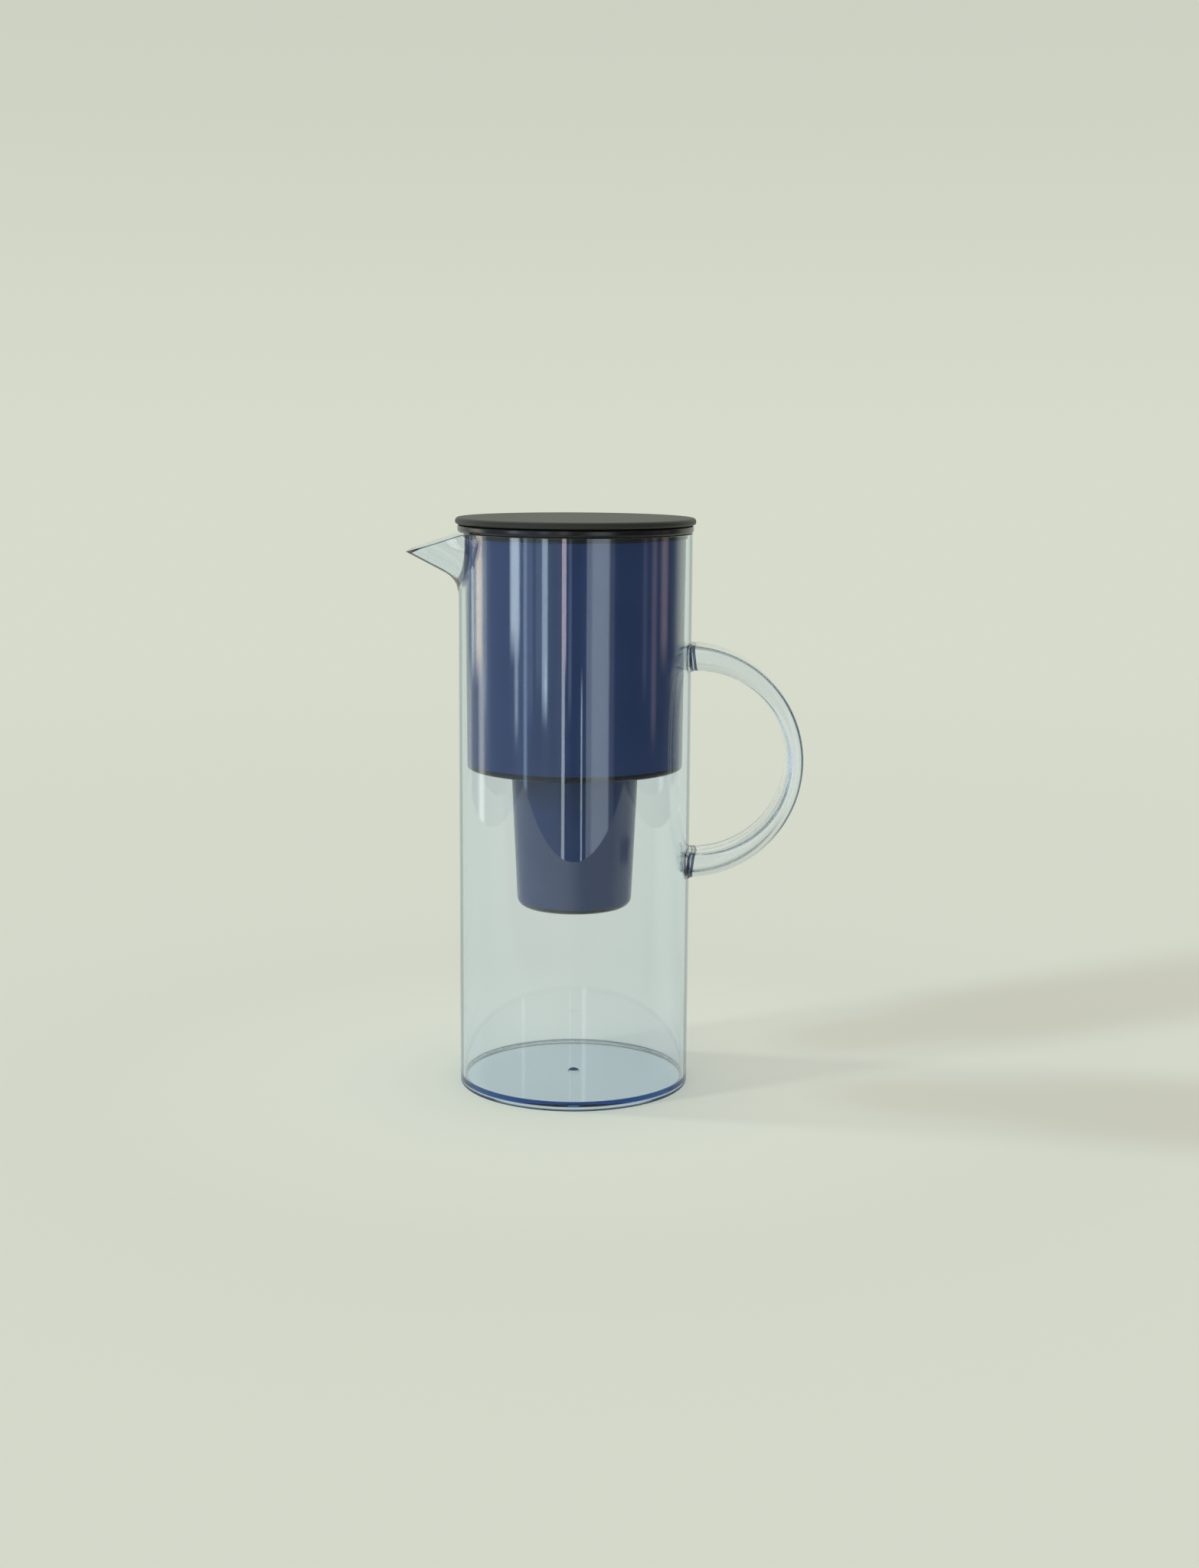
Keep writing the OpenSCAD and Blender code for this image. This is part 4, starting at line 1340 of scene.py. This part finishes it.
class JUG_OT_pull(bpy.types.Operator):
    """Make the hinged loop that lifts the cartridge"""

    bl_idname = "jug.pull"
    bl_label = "Pull Ring"

    def execute(self, context):
        size = context.scene.jug_pull
        inner = size.half - size.bar
        bend = Vector((size.hinge_x - size.reach + size.half, 0, size.hinge_z))
        straight = Vector((size.hinge_x - bend.x, 0, 0))
        bm = bmesh.new()
        corners = [(inner, -1), (size.half, -1), (size.half, 1), (inner, 1)]
        verts = closed_outline(
            bm, [(size.hinge_x, y, size.hinge_z + side * size.thick / 2) for y, side in corners]
        )
        round_off(bm, verts, size.edge, 4, "VERTICES")
        loop = self.run(bm, bm.edges[:], -straight)
        loop = bmesh.ops.spin(
            bm,
            geom=loop + list({v for e in loop for v in e.verts}),
            cent=bend,
            axis=(0, 0, 1),
            angle=math.pi,
            steps=40,
        )["geom_last"]
        self.run(bm, [e for e in loop if isinstance(e, bmesh.types.BMEdge)], straight)
        bmesh.ops.holes_fill(bm, edges=[e for e in bm.edges if e.is_boundary])
        bmesh.ops.recalc_face_normals(bm, faces=bm.faces[:])
        end = size.half + size.gap + size.lug
        tools = []
        for side in (-1, 1):
            for radius, far in ((size.boss, size.half), (size.pin, end)):
                span = sorted((side * inner, side * far))
                tools.append(cross_bar(radius, *span, size.hinge_x, size.hinge_z, 40))
        bm = combine(bm, tools, "UNION")
        mat = bpy.data.materials["cap_plastic"]
        add_piece("pull_loop", bm, mat, "pull_ring", ["pull_ring"], 35)
        return {"FINISHED"}

    @staticmethod
    def run(bm, loop, way):
        """Draw a ring of edges out along a straight line, and return its far end."""
        made = bmesh.ops.extrude_edge_only(bm, edges=loop)["geom"]
        verts = [g for g in made if isinstance(g, bmesh.types.BMVert)]
        bmesh.ops.translate(bm, verts=verts, vec=way)
        ends = set(verts)
        return [g for g in made if isinstance(g, bmesh.types.BMEdge) and set(g.verts) <= ends]


class JUG_OT_stage(bpy.types.Operator):
    """Make the floor, the light and the camera"""

    bl_idname = "jug.stage"
    bl_label = "Stage"

    def execute(self, context):
        look = context.scene.jug_stage
        scene = context.scene
        scene.view_settings.view_transform = "Standard"
        scene.cycles.max_bounces = 24
        scene.cycles.transmission_bounces = 20
        scene.cycles.glossy_bounces = 8
        scene.cycles.transparent_max_bounces = 24
        bm = bmesh.new()
        bmesh.ops.create_circle(bm, cap_ends=True, radius=FLOOR_RADIUS, segments=96)
        mesh = make_mesh("sweep", bm)
        mesh.materials.append(sweep_paper(look))
        sweep = bpy.data.objects.new("sweep", mesh)
        scene.collection.objects.link(sweep)
        self.world(scene, look)
        for name, turn in LAMPS.items():
            self.lamp(scene, name, turn, look.lamp)
        camera = bpy.data.cameras.new("photo_camera")
        camera.sensor_width = 36.0
        camera.sensor_fit = "AUTO"
        camera.lens = CAMERA_LENS
        eye = bpy.data.objects.new("photo_camera", camera)
        eye.location = CAMERA_PLACE
        eye.rotation_euler = (CAMERA_TILT, 0, 0)
        eye.rotation_euler.rotate_axis("Z", CAMERA_ROLL)
        scene.collection.objects.link(eye)
        scene.camera = eye
        return {"FINISHED"}

    def world(self, scene, look):
        """Soft fill from all round, which mirrors and clear plastic see as a room and a sweep."""
        world = bpy.data.worlds.new("studio")
        scene.world = world
        world.use_nodes = True
        tree = world.node_tree
        fill = tree.nodes["Background"]
        feed(tree, fill.inputs["Color"], look.fill)
        path = tree.nodes.new("ShaderNodeLightPath")
        rays = [path.outputs[f"Is {kind} Ray"] for kind in ("Camera", "Glossy", "Transmission")]
        x, y, rise = link_place(tree, "Generated")
        towards = product(tree, y, -1.0)
        turn = maths(tree, "DEGREES", maths(tree, "ARCTAN2", x, towards))
        room = self.room(tree, turn, rise, look)
        sweep = self.sweep(tree, turn, rise, rays[2], look)
        scenery = blend_colours(tree, link_mirrored(tree, path), sweep, room)
        shown = add_node(tree, "Background", {"Color": scenery})
        seen = maths(tree, "MAXIMUM", rays[0], maths(tree, "MAXIMUM", rays[1], rays[2]))
        whole = blend_shaders(tree, seen, fill.outputs[0], shown.outputs[0])
        feed(tree, tree.nodes["World Output"].inputs["Surface"], whole)

    @staticmethod
    def room(tree, turn, rise, look):
        """Room with light panels that the jug's surfaces mirror."""
        room = blend_colours(tree, soft_step(tree, turn, *ROOM_CHANGE), ROOM_LEFT, ROOM_RIGHT)
        for first, last, soft, bottom, top, level in PANELS:
            share = product(
                tree,
                band(tree, turn, first, last, soft),
                band(tree, rise, bottom, top, PANEL_SOFT_SLOPE),
            )
            room = vectors(tree, "ADD", room, blend_colours(tree, share, (0, 0, 0), level))
        sides = [soft_step(tree, turn, *ends) for ends in (BACKDROP_LEFT, BACKDROP_RIGHT)]
        return blend_colours(tree, maths(tree, "ADD", *sides), room, look.backdrop)

    @staticmethod
    def sweep(tree, turn, rise, crossing, look):
        """Pale sweep, with dark flags where it is seen through clear plastic."""
        dim = [c * BACKDROP_DIM for c in look.backdrop]
        sweep = blend_colours(tree, soft_step(tree, rise, *BACKDROP_SLOPES), look.backdrop, dim)
        side = maths(tree, "ABSOLUTE", turn)
        for first, last in FLAGS:
            flag = product(tree, band(tree, side, first, last, FLAG_SOFT), crossing)
            sweep = blend_colours(tree, flag, sweep, ROOM_RIGHT)
        return sweep

    @staticmethod
    def lamp(scene, name, turn, tone):
        data = bpy.data.lights.new(name, "SUN")
        data.energy = LAMP_STRENGTH
        data.color = tone
        data.angle = LAMP_SPREAD
        ob = bpy.data.objects.new(name, data)
        way = Vector((math.cos(turn), math.sin(turn), 0)) * math.cos(LAMP_FALL)
        way.z = -math.sin(LAMP_FALL)
        ob.location = -way * 2
        ob.rotation_euler = way.to_track_quat("-Z", "Y").to_euler()
        ob.visible_glossy = False
        ob.visible_transmission = False
        ob.visible_camera = False
        scene.collection.objects.link(ob)


class JUG_PT_panel(bpy.types.Panel):
    bl_label = "Water Filter Jug"
    bl_idname = "JUG_PT_panel"
    bl_space_type = "VIEW_3D"
    bl_region_type = "UI"
    bl_category = "Jug"

    def draw(self, context):
        for operator in OPERATORS:
            self.layout.operator(operator.bl_idname)
        for group in GROUPS:
            box = self.layout.box()
            settings = getattr(context.scene, group)
            for name in settings.__annotations__:
                box.prop(settings, name)


OPERATORS = (
    JUG_OT_body,
    JUG_OT_handle,
    JUG_OT_funnel,
    JUG_OT_lid,
    JUG_OT_cartridge,
    JUG_OT_pull,
    JUG_OT_stage,
)
GROUPS = {
    "jug_sizes": JugSizes,
    "jug_handle": HandleSizes,
    "jug_funnel": FunnelSizes,
    "jug_lid": LidSizes,
    "jug_cartridge": CartridgeSizes,
    "jug_pull": PullSizes,
    "jug_stage": StageLook,
    "jug_finishes": Finishes,
}


def register():
    for cls in (*GROUPS.values(), *OPERATORS, JUG_PT_panel):
        bpy.utils.register_class(cls)
    for name, cls in GROUPS.items():
        setattr(bpy.types.Scene, name, PointerProperty(type=cls))


def unregister():
    for name in GROUPS:
        delattr(bpy.types.Scene, name)
    for cls in reversed((*GROUPS.values(), *OPERATORS, JUG_PT_panel)):
        bpy.utils.unregister_class(cls)


def main():
    register()
    for operator in OPERATORS:
        group, name = operator.bl_idname.split(".")
        getattr(getattr(bpy.ops, group), name)()


if __name__ == "__main__":
    main()
